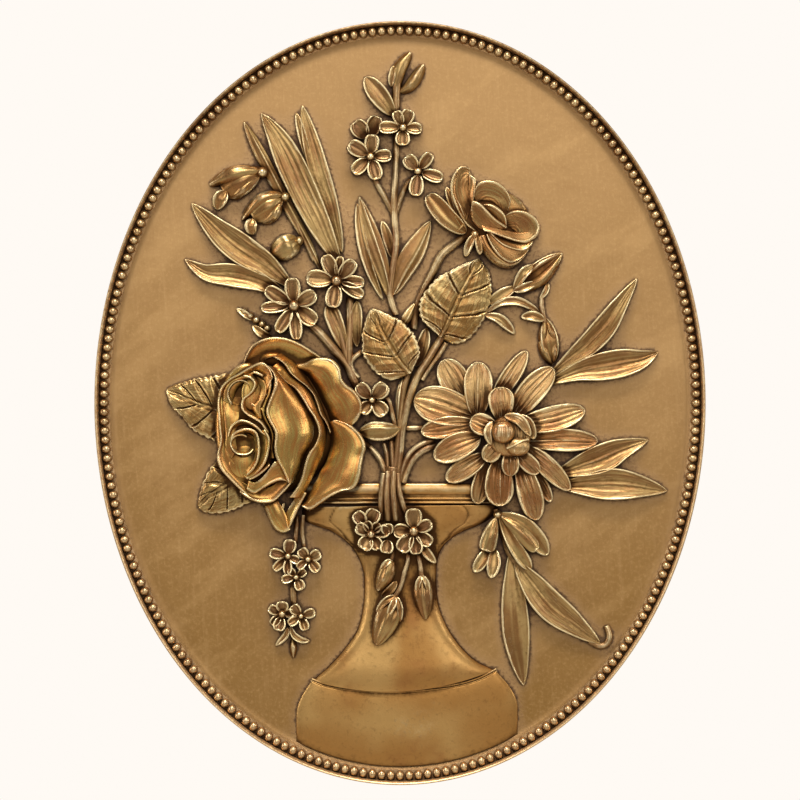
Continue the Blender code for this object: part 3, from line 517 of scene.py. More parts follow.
DAISY_FRONT = [
    ([(102, -18, 22), (101, 0, 25), (100, 16, 23)], 13, 0.62),
    ([(114, -46, 22), (126, -58, 23), (139, -70, 19)], 8.5, 0.6),
    ([(110, -46, 23), (110, -60, 25), (110, -73, 21)], 9, 0.56),
    ([(96, -26, 24), (84, -22, 27), (70, -17, 25)], 11, 0.6),
    ([(98, -38, 24), (92, -48, 27), (84, -57, 24)], 9.5, 0.56),
    ([(112, -14, 25), (126, -20, 28), (134, -36, 25)], 6.5, 0.5),
]
# Domes: centre, half width, half height, foot lift, crown lift, then power and rim, a worn crown that is also
# a painted highlight, where they aren't plain
DAISY_HEART = [
    ((109, -33), 21.5, 21, 24, 34, 2.6, 0.2),
    ((103, -29), 12, 11.5, 31, 41, 2.4, 0.9),
    ((117, -43), 12.5, 10, 28, 38.5, 2.2, 0.5),
]

# Petals of the rose and of the open bloom: rim, root, crown, worn rim that is also a painted highlight, then
# the depth of any lines
ROSE_BACK = [
    ([(-158, 36, 14), (-153, 50, 19), (-145, 60, 21), (-130, 65.5, 22), (-115, 65, 22), (-101, 60, 21),
      (-89, 53, 20), (-78, 45, 17)], [(-150, 30, 17), (-143, 38, 18), (-136, 42, 18), (-128, 43, 18),
      (-118, 40, 18), (-108, 36, 17), (-98, 33, 16), (-92, 34, 15)], -2.0, 1.0),
    ([(-104, 40, 17), (-95, 40.5, 20), (-86, 44.5, 23), (-77, 45.5, 24), (-67, 43, 25), (-60, 35, 26),
      (-58, 25, 26), (-53, 18, 25), (-46, 13, 24), (-39, 3, 23), (-38, -7, 22), (-42, -17, 21),
      (-50, -25, 18)], [(-102, 32, 18), (-96, 30, 17), (-92, 26, 16), (-88, 20, 16), (-85, 14, 15),
      (-82, 8, 15), (-79, 2, 15), (-77, -3, 14), (-74, -8, 14), (-72, -13, 14), (-70, -17, 14),
      (-68, -21, 14), (-66, -25, 14)], 5.5, 0.9),
    ([(-64, -16, 19), (-55, -19, 22), (-46, -24, 24), (-38, -33, 26), (-34, -43, 27), (-36, -52, 26),
      (-38, -62, 27), (-40, -74, 27), (-46, -85, 26), (-58, -88, 25), (-70, -94, 24), (-80, -101, 22),
      (-90, -107, 20), (-98, -104, 17)], [(-72, -20, 17), (-72, -26, 15), (-70, -33, 14), (-69, -39, 14),
      (-70, -46, 15), (-72, -54, 17), (-75, -61, 17), (-79, -67, 18), (-82, -74, 18), (-86, -81, 18),
      (-89, -87, 18), (-92, -92, 18), (-95, -97, 17), (-98, -101, 16)], 4.0, 1.3),
    ([(-142, -94, 12), (-135, -106, 14), (-130, -118, 15), (-124, -127, 14), (-116, -130.5, 13),
      (-110, -127, 14)], [(-128, -90, 18), (-122, -97, 19), (-117, -105, 19), (-113, -113, 18),
      (-111, -120, 17), (-109, -126, 15)], 4.0, 0.7),
    ([(-112, -129, 15), (-106, -116, 19), (-100, -103, 22), (-93, -90, 24)], [(-120, -121, 14),
      (-113, -108, 17), (-107, -98, 20), (-100, -86, 22)], 0.0, 1.4),
]
ROSE_WRAPS = [
    ([(-136, 43, 28), (-128, 46, 31), (-121, 43, 32), (-115, 38, 32), (-110, 30, 31), (-102, 23, 31),
      (-94, 17, 30), (-87, 9, 29), (-83, -1, 28), (-80, -11, 27), (-74, -20, 25), (-70, -31, 21)],
     [(-118, 50, 20), (-112, 46, 20), (-106, 42, 19), (-101, 37, 19), (-96, 31, 18), (-91, 23, 18),
      (-86, 15, 17), (-81, 6, 17), (-77, -3, 16), (-74, -11, 16), (-71, -19, 16), (-68, -28, 16)], 2.5, 1.2),
    ([(-132, 33, 29), (-123, 30, 33), (-115, 21, 33), (-105, 14, 32), (-97, 3, 32), (-91, -7, 32),
      (-86, -14, 33), (-82, -23, 33), (-81, -32, 33), (-85, -42, 33), (-91, -50, 33), (-95, -61, 32),
      (-98, -73, 31), (-103, -84, 29), (-111, -94, 26)], [(-120, 42, 26), (-113, 36, 26), (-106, 28, 25),
      (-97, 21, 24), (-89, 12, 23), (-84, 3, 22), (-80, -8, 21), (-75, -18, 19), (-73, -28, 18),
      (-74, -40, 18), (-77, -52, 19), (-82, -63, 19), (-87, -74, 20), (-92, -84, 20), (-98, -95, 19)], 2.5,
     1.3),
    ([(-134, 38, 37), (-128, 32, 40), (-125, 25, 42), (-125, 17, 42.5), (-127, 10, 42.5), (-131, 0, 42.5),
      (-133, -8, 42.5), (-131, -16, 42.5), (-126, -25, 42.5), (-124, -32, 42.5), (-125, -44, 42),
      (-123, -55, 40), (-117, -67, 38), (-112, -79, 34)], [(-126, 36, 29), (-119, 30, 28), (-112, 22, 27),
      (-105, 15, 26), (-99, 7, 26), (-94, 0, 26), (-89, -7, 26), (-87, -14, 26), (-86, -22, 26),
      (-86, -32, 26), (-90, -43, 26), (-95, -54, 26), (-100, -66, 26), (-106, -80, 25)], 5.0, 1.3),
]
ROSE_LIPS = [
    ([(-160, -89, 24), (-153, -94, 27), (-146, -97.5, 29), (-137, -99.5, 30), (-126, -98, 30.5),
      (-117, -90, 31), (-109, -81, 31), (-104, -72, 30)], [(-158, -78, 27), (-151, -82, 28), (-144, -84, 29),
      (-136, -85, 29.5), (-128, -83, 30), (-121, -78, 30), (-115, -73, 30), (-111, -66, 30)], -1.5, 1.3),
    ([(-180, 14, 26), (-182, 0, 28), (-181, -13, 29), (-180, -25, 29), (-179, -38, 29), (-182, -50, 29),
      (-182, -58, 29), (-178, -67, 29), (-169, -77, 28), (-160, -86, 27), (-152, -93, 26)], [(-173, 8, 30),
      (-173, -2, 30), (-172, -12, 30), (-171, -24, 30), (-171, -36, 30), (-171, -47, 30), (-168, -56, 30),
      (-162, -64, 30), (-155, -70, 30), (-148, -75, 30), (-141, -79, 30)], -2.5, 1.3),
    ([(-181, 6, 30), (-178, 16, 32), (-170, 24, 34), (-160, 29.5, 36), (-149, 36, 38), (-141, 40, 39),
      (-135, 40, 39.5), (-129, 34, 41), (-126, 26, 42)], [(-172, 6, 27), (-169, 11, 27), (-163, 17, 28),
      (-155, 22, 29), (-148, 25, 30), (-142, 24, 31), (-138, 20, 33), (-136, 14, 34), (-135, 6, 36)], -1.0,
     1.3),
    ([(-142, 28, 33), (-133, 20, 36), (-133, 8, 38), (-138, -4, 38), (-137, -16, 38)], [(-146, 20, 31),
      (-143, 12, 31), (-144, 4, 32), (-148, -4, 33), (-144, -13, 33)], 1.5, 0.4),
    ([(-134, -26, 39), (-129, -36, 39), (-130, -48, 38), (-134, -60, 37), (-142, -70, 35), (-152, -76, 33)],
     [(-143, -30, 33), (-141, -38, 32), (-142, -48, 32), (-146, -57, 31), (-151, -64, 31), (-158, -70, 30)],
     -1.0, 0.9),
    ([(-153, -86, 30), (-145, -90, 33), (-136, -85, 34.5), (-127, -80, 35), (-118, -77, 35), (-111, -79, 33)],
     [(-151, -77, 31), (-144, -79, 35), (-137, -74, 38), (-130, -66, 39), (-125, -59, 39), (-119, -58, 37)],
     0.5, 1.2),
]
ROSE_HEART = [
    ([(-129, 30, 38), (-128, 20, 39), (-129, 10, 39.5), (-133, 0, 39.5), (-135, -8, 39.5), (-133, -16, 39.5),
      (-128, -26, 39.5), (-126, -34, 39), (-127, -44, 38), (-125, -55, 36)], [(-141, 28, 32), (-141, 18, 32),
      (-142, 10, 32), (-147, 3, 32), (-148, -5, 32.5), (-143, -14, 33), (-136, -22, 33), (-133, -32, 32.5),
      (-136, -44, 32), (-139, -56, 31)], -2.5, 0.2),
    ([(-176, 2, 31), (-175, 13, 32), (-168, 22, 34), (-157, 27, 35), (-146, 31, 36)], [(-166, -2, 28),
      (-165, 6, 28), (-161, 14, 28), (-155, 18, 29), (-147, 20, 30)], 1.0, 0.2),
    ([(-174, 8, 27), (-176, -4, 29), (-175, -20, 30), (-174, -32, 30), (-174, -44, 30), (-168, -56, 30)],
     [(-166, 6, 25), (-161, -3, 27), (-160, -12, 31), (-162, -22, 32), (-164, -32, 32), (-162, -46, 30)], 1.0,
     0.1),
    ([(-168, -2, 34), (-172, 7, 35), (-170.5, 15, 36), (-165, 21, 37), (-158, 23, 37.5), (-151, 20, 37.5),
      (-149, 14, 37)], [(-163, 3, 26), (-165, 8, 25), (-164, 13, 25), (-161, 16, 25), (-157, 17, 25),
      (-154, 15, 25), (-153, 12, 26)], -1.0, 0.9),
    ([(-156, 26, 38), (-149, 24.5, 39), (-145, 19, 39), (-147, 13, 38.5), (-151, 9, 38), (-156, 5, 38),
      (-158, -1, 38), (-157, -7, 38), (-152, -12, 38.5), (-145, -16, 39), (-139, -20, 39), (-135, -25, 39),
      (-131, -30, 38.5)], [(-154, 31, 33), (-146, 29, 33), (-139, 20, 32), (-140, 12, 31), (-144, 6, 30),
      (-149, 2, 30), (-151, -2, 31), (-150, -6, 31), (-146, -8, 31), (-141, -10, 31), (-135, -13, 31),
      (-131, -19, 30), (-128, -27, 30)], 0.0, 1.3),
    ([(-172, -34, 33), (-170, -26, 35), (-166, -20, 36.5), (-159, -16.5, 38), (-151, -18, 38.5),
      (-143, -22, 38.5), (-137, -28, 38), (-131, -32, 37)], [(-167, -34, 30), (-166, -28, 31),
      (-162, -24, 32), (-157, -22, 32), (-151, -23, 32), (-145, -27, 32), (-140, -33, 31), (-136, -38, 30)],
     0.0, 1.1),
    ([(-169, -38, 35), (-167, -31, 36.5), (-160, -26.5, 37.5), (-151, -25, 38), (-143, -28, 38),
      (-140, -36, 38), (-139, -47, 37.5), (-141, -58, 36.5), (-146, -67, 34.5), (-152, -73, 32)],
     [(-165, -37, 32), (-163, -33, 32), (-158, -30.5, 32), (-152, -30, 31), (-147, -33, 31), (-145, -39, 31),
      (-145, -47, 31), (-146, -55, 31), (-150, -61, 30), (-154, -66, 30)], 0.5, 1.0),
    ([(-145, -46, 34), (-151, -51, 36), (-161, -51, 37), (-167, -46, 37), (-169, -39, 37), (-165, -33, 36.5),
      (-158, -31, 35.5), (-152, -33, 34.5)], [(-151, -42, 27), (-154, -45, 26), (-159, -45, 26),
      (-162, -43, 26), (-163, -40, 26), (-161, -37, 26), (-157, -36, 26), (-154, -37, 27)], -1.0, 1.0),
    ([(-129, -62, 37), (-135, -68, 37), (-142, -73, 36), (-150, -77, 34)], [(-131, -58, 31), (-137, -63, 31),
      (-143, -68, 31), (-151, -72, 30)], 0.0, 0.9),
]
ROSE_RIBBONS = [
    (1.4, [(-150, 2, 33), (-146, -2, 36), (-140, -5, 37), (-134, -8, 38)]),
    (1.2, [(-146, 31, 38), (-140, 29, 39), (-136, 27, 38.5)]),
    (1.2, [(-141, 20, 34), (-135, 17, 36), (-130, 15, 37)]),
    (1.2, [(-141, 12, 33), (-135, 9, 36), (-130, 8, 37)]),
    (1.5, [(-122, -127, 14), (-119, -112, 18), (-116, -100, 20)]),
]
# A crown below its foot is a hollow
ROSE_FILLINGS = [
    ((-122, -18), 58, 72, 8, 18, 2.6),
    ((-152, -22), 32, 62, 21, 28.5, 2.8),
    ((-162, 10), 11, 12, 32, 27),
    ((-147, 9), 11, 17, 30, 34.5, 4.5),
    ((-160, -7), 17, 15, 26, 30),
    ((-156, -42), 13, 12, 33, 28),
    ((-154, -58), 18, 18, 25, 31, 2.2),
    ((-126, 43), 15, 8, 16, 23, 2.6),
]

OPEN_BLOOM = [
    ([(55, 168, 14), (65, 177, 15), (70, 188, 14)], [(60, 176, 15), (64, 184, 15), (66, 192, 13)], 1.0, 0.5),
    ([(76, 224, 18), (76, 216, 18), (75, 207, 18), (73, 198, 17)], [(68, 229, 15), (68, 218, 14),
      (68, 207, 14), (69, 196, 14)], 0.5, 0.8, 0.3),
    ([(74, 172, 18), (66, 178, 18), (59, 188, 18), (52.5, 203, 19), (50, 215, 20), (53, 228, 20),
      (61, 236.5, 18), (70, 234, 17)], [(80, 172, 16), (76, 182, 15), (72, 194, 14.5), (70, 206, 14.5),
      (68, 214, 14.5), (68, 221, 15), (68, 227, 15), (70, 231, 15)], -1.5, 1.5, 0.25),
    ([(73, 208, 18), (77, 218, 20), (84, 222, 20), (94, 221.5, 20), (102, 217.5, 19), (108, 210, 18),
      (111, 202, 17), (108, 192, 16)], [(75, 200, 17), (80, 202, 16.5), (86, 202, 16), (92, 200, 16),
      (97, 197, 16), (101, 194, 16), (103, 191, 16), (104, 187, 16)], -0.8, 1.3, 0.3),
    ([(104, 186, 19), (111, 191, 21), (119, 192, 22), (128, 190, 22), (136, 184, 21), (140, 175, 20),
      (137, 166, 19), (127, 160, 17)], [(100, 179, 18), (104, 178, 17.5), (108, 176, 17), (112, 174, 17),
      (114, 171, 17), (115, 169, 17), (116, 166, 17), (118, 163, 16)], -0.3, 1.4, 0.45),
    ([(84, 198.5, 20), (92, 198, 22), (101, 192.5, 22), (106, 185, 21), (107, 178, 20)], [(80, 196, 19),
      (86, 190, 19), (92, 184, 19), (98, 179, 19), (106, 176, 19)], 0.5, 1.0, 0.35),
    ([(75, 166, 13), (80, 155, 14), (87, 145, 15), (96, 137.5, 15), (108, 134.5, 14), (118, 138, 13),
      (125, 146, 12)], [(85, 168, 20), (88, 159, 21.5), (93, 152, 22), (100, 145, 21.5), (109, 140, 20),
      (118, 142, 17), (126, 150, 14)], 3.5, 0.1),
    ([(86, 167, 22), (89.5, 159, 24), (93.5, 152, 24.5), (99.7, 145, 23.5), (109, 139.7, 21.5),
      (118, 142, 19), (127, 150, 16)], [(88, 171, 20), (94, 164, 21), (103, 156.5, 21), (112, 153, 20),
      (119, 151.5, 19), (125, 152, 18), (131, 157, 17)], -0.5, 1.3),
    ([(88, 171.5, 21.5), (94, 164, 22.5), (103, 156.5, 22.5), (112, 153, 21.5), (119, 151.5, 20.5),
      (125, 152, 19.5), (132, 158, 18)], [(90, 173, 17.5), (97, 169, 17), (105, 166, 17), (112, 163, 17),
      (118, 161, 17), (125, 160, 17), (133, 162, 17)], 0.3, 0.9),
    ([(84, 171, 22), (93, 168.5, 22), (101, 165.5, 22), (110, 162.5, 21.5), (119, 160, 20.5), (128, 160, 19),
      (138, 168, 17)], [(80, 178, 20), (89, 176, 21), (98, 174, 21), (107, 172, 20), (116, 170, 19),
      (125, 170, 18.5), (134, 173, 17.5)], 0.5, 1.1),
    ([(72, 202, 24), (80, 199, 25.5), (87, 192, 26), (95, 184, 25), (107, 176, 22.5)], [(70, 190, 18),
      (73, 181, 18), (80, 174, 19), (91, 172.5, 20), (106, 173.5, 20.5)], 0.8, 1.2, 0.5),
]
OPEN_BLOOM_LEAVES = [
    ([(66, 170, 13), (46, 186, 16), (28, 208, 13)], 10, 0.6, "spoon"),
    ([(66, 172, 13), (57, 192, 15), (46, 216, 12)], 5.5, 0.55, "plain"),
    ([(74, 168, 17), (69, 158, 17), (65, 146, 14)], 4.2, 0.5, "plain"),
    ([(77, 167, 17), (79, 158, 18), (80, 148, 16)], 3.8, 0.5, "plain"),
]

SIDE_BUDS = [
    ([(112, 112, 7), (137, 130, 9), (163, 150, 5)], 10, 0.52, "faint"),
    ([(115, 112, 9), (141, 123, 14), (162, 148, 7)], 6.0, 0.5, "bud"),
    ([(121, 122, 9), (140, 139, 13), (162, 150, 6)], 4.2, 0.5, "bud"),
    ([(114, 113, 10), (123, 129, 15), (134, 138, 9)], 5.2, 0.52, "plain"),
    ([(113, 112, 10), (124, 115, 14), (137, 121, 9)], 4.4, 0.55, "plain"),
    ([(88, 99, 8), (100, 107, 10), (116, 116, 9)], 6, 0.55, "plain"),
    ([(86, 90, 8), (100, 100, 10), (116, 102, 10), (128, 98, 9), (141, 90, 5)], 4.4, 0.5, "plain"),
    ([(84, 88, 8), (98, 85, 9), (107, 78, 8), (115, 69, 5)], 5.2, 0.5, "plain"),
    ([(145, 83, 8), (133, 87, 10), (121, 86, 7)], 5.2, 0.45, "plain"),
    ([(146, 85, 6), (150, 61, 9), (153, 38, 4)], 9, 0.5, "faint"),
    ([(145, 84, 8), (144, 70, 11), (143, 58, 8)], 5.2, 0.6, "bud"),
    ([(148, 80, 8), (152, 70, 11), (159, 60, 8)], 4.8, 0.6, "bud"),
    ([(140, 62, 8), (146, 50, 10), (152, 38, 6)], 5.2, 0.45, "bud"),
    ([(156, 62, 8), (155, 52, 10), (154, 40, 6)], 5.0, 0.5, "bud"),
    ([(140, 104, 7), (146, 112, 7), (148, 121, 5)], 3.0, 0.5, "plain"),
    ([(-164, 95, 6), (-154, 88, 10), (-146, 83, 6)], 3.4, 0.5, "plain"),
    ([(-148, 78, 6), (-139, 70, 9), (-128, 65, 6)], 4.4, 0.5, "plain"),
    ([(0, -26, 13), (-14, -28, 18), (-30, -28, 18), (-42, -30, 14)], 10, 0.5, "fold"),
    ([(22, -143, 15), (28, -151, 15), (36, -160, 11)], 4.6, 0.45, "plain"),
    ([(-3, -178, 13), (-10, -187, 13), (-19, -194, 10)], 4.2, 0.5, "plain"),
    ([(-110, -222, 8), (-106, -232, 9), (-98, -237, 9), (-90, -238, 5)], 3.4, 0.5, "plain"),
    ([(-112, -224, 8), (-115, -233, 9), (-125, -243, 5)], 3.2, 0.5, "plain"),
    ([(-108, -236, 7), (-107, -245, 9), (-107, -255, 5)], 3.8, 0.5, "bud"),
]

HANGING_BUDS = [
    ([(-9, -156, 16), (-14, -171, 20), (-22, -188, 14)], 8.5, 0.45),
    ([(-4, -192, 15), (-13, -216, 21), (-24, -242, 14)], 12.5, 0.42),
    ([(22, -172, 15), (23, -192, 19), (26, -216, 13)], 9.5, 0.42),
]
HANGING_SEPALS = [
    ([(-4, -192, 16), (-15, -198, 18), (-24, -209, 13)], 3.6),
    ([(-4, -193, 18), (-8, -203, 22), (-13, -213, 19)], 3.4),
    ([(-3, -193, 16), (0, -206, 18), (0, -219, 13)], 3.2),
    ([(-8, -156, 16), (-15, -161, 18), (-20, -170, 13)], 3.0),
    ([(22, -172, 16), (18, -180, 18), (17, -190, 14)], 2.8),
    ([(22, -172, 16), (27, -180, 18), (29, -190, 14)], 2.8),
]

BELLS = [
    ([(-140, 230, 10), (-157, 222, 17), (-177, 211, 12)], 13.5, 0.6, "bell"),
    ([(-146, 224, 13), (-158, 213, 17), (-169, 205, 10)], 6, 0.6, "bud"),
    ([(-174, 212, 12), (-180, 203, 15), (-183, 193, 9)], 7.5, 0.45, "plain"),
    ([(-141, 232, 14), (-166, 229, 19), (-191, 218, 10)], 7.5, 0.5, "bud"),
    ([(-117, 206, 10), (-131, 197, 17), (-148, 186, 12)], 12, 0.6, "bell"),
    ([(-120, 199, 13), (-126, 189, 17), (-138, 180, 10)], 6, 0.6, "bud"),
    ([(-147, 184, 12), (-149, 176, 15), (-146, 168, 9)], 6.5, 0.45, "plain"),
    ([(-118, 208, 13), (-139, 203, 18), (-158, 183, 9)], 6.5, 0.5, "bud"),
    ([(-101, 163, 10), (-112, 157, 19), (-129, 147, 9)], 12.5, 0.6, "bud"),
    ([(90, -144, 7), (82, -157, 12), (74, -169, 13)], 6.5, 0.55, "plain"),
    ([(94, -145, 7), (94, -159, 12), (91, -175, 13)], 7.0, 0.55, "plain"),
    ([(96, -114, 11), (91, -130, 17), (86, -148, 16)], 9, 0.78, "bell"),
    ([(100, -110, 9), (126, -124, 13), (148, -152, 9)], 9.5, 0.68, "plain"),
    ([(99, -113, 9), (114, -142, 12), (131, -167, 8)], 7, 0.7, "plain"),
    ([(101, -113, 11), (118, -127, 17), (137, -147, 16)], 8, 0.72, "bell"),
]
BUD_KNOBS = [
    ((-138, 230.5), 6, 5.5, 8, 17),
    ((-115, 206), 5, 5, 8, 16),
    ((-101, 162), 4.5, 5, 6, 15),
    ((98, -112), 5, 5, 6, 13),
]
SEED_ROW = [(-156, 91), (-150, 87), (-144, 83), (-138, 79), (-133, 75)]

# Toothed leaves: left edge, midrib, right edge, veins, teeth, three lifts, fall to the right and puff
TOOTHED_LEAVES = [
    ([(40, 66), (31, 74), (22, 83), (19.5, 94), (21, 104), (30, 117), (39, 126), (50, 132), (63, 138.5),
      (80, 145)], [(41, 65), (46, 76), (51, 87), (56, 98), (62, 111), (68, 122), (74, 133), (80, 145)],
     [(43, 63), (54, 59), (66, 62), (77, 73), (84, 84), (90, 99), (92, 111), (91, 122), (89, 132), (80, 145)],
     3.9, 17, (13, 16, 12), 4.5, 1.1),
    ([(8, 28), (-9, 22.5), (-20, 27), (-28, 34), (-34, 43), (-38, 51), (-37.5, 60), (-38.5, 68), (-36, 77),
      (-34, 85), (-29.5, 95)], [(10, 29), (2, 38), (-5, 47), (-10, 55), (-15, 63), (-19, 71), (-23, 80),
      (-29, 94)], [(12, 31), (16, 40), (19.5, 48), (19, 55), (16, 64), (13, 70), (7, 76), (1, 82), (-7, 86),
      (-19, 92), (-28.5, 95)], 3.9, 15, (17, 19, 14), -2.0, 1.2),
    ([(-160, -44), (-181, -39), (-196, -33), (-208, -26), (-218, -14), (-229, -3), (-235, 13)], [(-158, -5),
      (-181, -7), (-192, -4), (-204, 0), (-218, 6), (-234, 13)], [(-160, 32), (-181, 28), (-192, 26),
      (-204, 24.5), (-213, 22), (-223, 19), (-233, 15)], 3.6, 12, (16, 14, 8), 1.0, 2.3),
    ([(-140, -98), (-152, -100), (-162, -105), (-172, -108.5), (-184, -110.5), (-196, -109), (-203, -104)],
     [(-152, -72), (-168, -79), (-177, -84), (-184, -88), (-192, -93), (-202, -104)], [(-168, -50),
      (-184, -59), (-191, -67), (-197, -79), (-200, -88), (-202, -96), (-203, -103)], 3.6, 9, (16, 13, 8),
     1.0, 2.3),
]

# UMBER is the dark patina colour, also used for painted shade; CREAM is the pale gold of worn edges and
# painted highlights.
UMBER = (50, 25, 9)
CREAM = (252, 232, 180)


def add_flowers_and_leaves():
    """Every motif as its own piece: the mesh of each, by name."""
    pieces = {}

    def begin(name):
        pieces[name] = new_sheets()
        return pieces[name]

    bm = begin("long_leaves")
    for blade in LONG_LEAVES + TOP_SPRIG:
        add_blade(bm, *blade)

    bm = begin("toothed_leaves")
    for outline_and_look in TOOTHED_LEAVES:
        add_outlined_leaf(bm, *outline_and_look)

    bm = begin("stems")
    for half, points in STEMS:
        add_ribbon(bm, points, half, grain=0.12)

    bm = begin("small_blossoms")
    for centre, lift, button, petals in BLOSSOMS:
        for number, (turn, reach, half) in enumerate(petals):
            add_petal(bm, centre, turn, reach, half, lift - 0.7 * (number % 3))
        if button:
            add_dome(bm, centre, button, button, lift - 2, lift + 3.5)

    bm = begin("daisy")
    for points, half, widest in DAISY_BACK + DAISY_FRONT:
        add_blade(bm, points, half, widest, "daisy")
    for dome in DAISY_HEART:
        add_dome(bm, *dome)
    add_blade(bm, [(104, -13, 31), (119, -17, 36), (130, -33, 32)], 5.5, 0.5, "daisy", cup=1.0)
    add_blade(bm, [(92, -18, 30), (87, -29, 34), (91, -42, 30)], 4.0, 0.5, "daisy", cup=1.0)
    add_ribbon(bm, [(106, -45, 37.5), (113, -42, 39.6), (121, -38, 38.8), (128, -36, 36)], 1.3, rim=0.5)

    bm = begin("rose")
    for dome in ROSE_FILLINGS:
        add_dome(bm, *dome, rim=0.0)
    for band in ROSE_BACK + ROSE_WRAPS + ROSE_LIPS + ROSE_HEART:
        add_band(bm, *band)
    for half, points in ROSE_RIBBONS:
        add_ribbon(bm, points, half, rim=0.8)

    bm = begin("open_bloom")
    add_dome(bm, (96, 180), 34, 32, 10, 16, 2.4, 0.0)
    add_blade(bm, [(72, 172, 11), (62, 205, 14), (65, 237, 12)], 11.5, 0.6, "faint")
    for band in OPEN_BLOOM:
        add_band(bm, *band)
    for blade in OPEN_BLOOM_LEAVES:
        add_blade(bm, *blade)
    add_dome(bm, (75, 168), 5, 5, 14, 20)

    bm = begin("buds")
    for blade in BELLS + SIDE_BUDS:
        add_blade(bm, *blade)
    for points, half, widest in HANGING_BUDS:
        add_blade(bm, points, half, widest, "bud", line_deep=0.5)
    for points, half in HANGING_SEPALS:
        add_blade(bm, points, half, 0.45, "plain")
    for dome in BUD_KNOBS:
        add_dome(bm, *dome)
    for centre in SEED_ROW:
        add_dome(bm, centre, 4.2, 4.0, 5, 11.5)

    bm = begin("vase")
    add_vase(bm)
    return pieces


VASE_LEFT = [
    (-98, -104), (-97, -117), (-84, -123), (-70, -128), (-55, -138), (-44, -151), (-37, -168), (-36, -188),
    (-37.5, -206), (-43, -227), (-55, -245), (-71, -263), (-88, -278),
]
VASE_RIGHT = [
    (98, -102), (96, -110), (84, -120), (67, -127), (54, -134), (44, -143), (38, -156), (36.5, -176),
    (38, -196), (42, -212), (51, -230), (64, -247), (78, -259), (95, -267),
]
FOOT_RIDGE = [(-89, -277), (-71, -283), (-41, -287), (-2, -288), (48, -284), (77, -277), (97, -267)]

# Bands of the lip: reach to each side, height, lift at the ends and the middle, half width, crown and rim
LIP_BANDS = [
    (101, -91, 8, 10, 10.5, 0.2, 0.05),
    (102, -86, 10, 12.6, 5.6, 0.4, 1.3),
    (99, -95.5, 9, 11.2, 1.1, 1.0, 0.6),
    (98, -99.5, 9, 11.4, 1.3, 1.0, 0.9),
]
# How far down the body the lines on its shoulders run
SHOULDER_END = 0.32


def add_vase(bm):
    """The vase in low relief: a banded lip, a waisted body, a ridge and a drum that runs to the border."""
    left, right, ridge = [flat_points(side) for side in (VASE_LEFT, VASE_RIGHT, FOOT_RIDGE)]
    ground_end = -(HEIGHT / 2 - GROUND_EDGE + SUNK) / SQUARE_Z
    ground_reach = (WIDTH / 2 - GROUND_EDGE + SUNK) / SQUARE_X

    def body(s):
        a = curve_at(left, s)
        b = curve_at(right, s)
        sag = 16 * max(0.0, (s - 0.55) / 0.45) ** 2

        def across(v):
            t = (1 + v) / 2
            spot = a.lerp(b, t)
            wide = (b - a).length
            inside = min(t, 1 - t) * wide
            face = 1 - math.exp(-inside / 5.0)
            lift = 2.0 + 6.0 * face + 3.0 * (1 - v * v) - 1.2 * bump(inside, 0.7)
            lift += (7.4 * (s - 0.42) ** 2 - 3.4 * max(0.0, (s - 0.88) / 0.12) ** 2) * face
            past = inside - 3.5 - 100 * max(0.0, SHOULDER_END - s)
            fade = 1 - min(1.0, max(0.0, s - SHOULDER_END) * 8)
            line = bump(past, 1.5) * fade
            lift -= 0.9 * line
            rim = 0.5 * bump(inside - 1.5, 1.2) - (0.6 * line + 0.14 / (1 + math.exp(past / 0.8))) * fade
            return spot.x, spot.y - sag * (1 - v * v), lift, rim

        return across

    add_sheet(bm, body, 150, 110, wall=1.5, ends=False, streak=0.03)

    def drum(s):
        top = curve_at(ridge, s)
        outward = 2 * s - 1
        spread = 8 + (13 if outward > 0 else 7) * abs(outward) ** 3

        def across(v):
            t = (1 - v) / 2
            bulge = math.copysign(spread * (1 - (1 - min(t * 1.7, 1.0)) ** 2), outward) * abs(outward) ** 1.5
            x = top.x + bulge
            low = ground_end * math.sqrt(max(1 - (x / ground_reach) ** 2, 0.0))
            z = top.y - 2 + (low - top.y + 2) * t
            near_side = (1 - abs(outward)) * 110
            lift = 4.9 + 3.2 * (1 - math.exp(-near_side / 7)) * (1 - 0.4 * math.exp(-7 * t))
            lift -= 4.6 * t + 1.2 * max(0.0, t - 0.85) / 0.15
            return x, z, max(lift, 0.5), 0.35 * bump(near_side - 2, 1.6) - 0.1

        return across

    add_sheet(bm, drum, 130, 44, wall=1.2, ends=False, streak=0.03)
    for shift, lift in ((1.1, 9.0), (-1.1, 8.4)):
        points = [(x * (1 - 0.004 * shift), z + shift, lift - 2.5 * abs(x) / 95) for x, z in FOOT_RIDGE]
        add_ribbon(bm, points, 0.9, rim=0.5)
    for reach, z, low, high, half, crown, rim in LIP_BANDS:
        add_ribbon(bm, [(-reach, z, low), (0, z, high), (reach, z, low)], half, crown, rim)


# The slab, its border and its ground

def oval_point(inset, depth, angle):
    return Vector(((WIDTH / 2 - inset) * math.sin(angle), -depth, (HEIGHT / 2 - inset) * math.cos(angle)))


def even_angles(inset, count):
    """Angles that space points evenly along the oval."""
    across = WIDTH / 2 - inset
    up = HEIGHT / 2 - inset
    fine = np.linspace(0, 2 * math.pi, OVAL_SAMPLES)
    speed = np.hypot(across * np.cos(fine), up * np.sin(fine))
    along = np.concatenate([[0], np.cumsum((speed[1:] + speed[:-1]) / 2)])
    return np.interp(np.arange(count) / count * along[-1], along, fine)


def sweep(bm, profile, count):
    """A grid wrapped round the oval: one row for each (inset, depth) of the profile."""
    angles = even_angles(0.0, count)
    made = bmesh.ops.create_grid(bm, x_segments=count, y_segments=len(profile) - 1, size=1.0)["verts"]
    for vert in made:
        turn = round((vert.co.x + 1) / 2 * count) % count
        inset, depth = profile[round((vert.co.y + 1) / 2 * (len(profile) - 1))]
        vert.co = oval_point(inset, depth, angles[turn])
    bmesh.ops.remove_doubles(bm, verts=bm.verts[:], dist=1e-6)


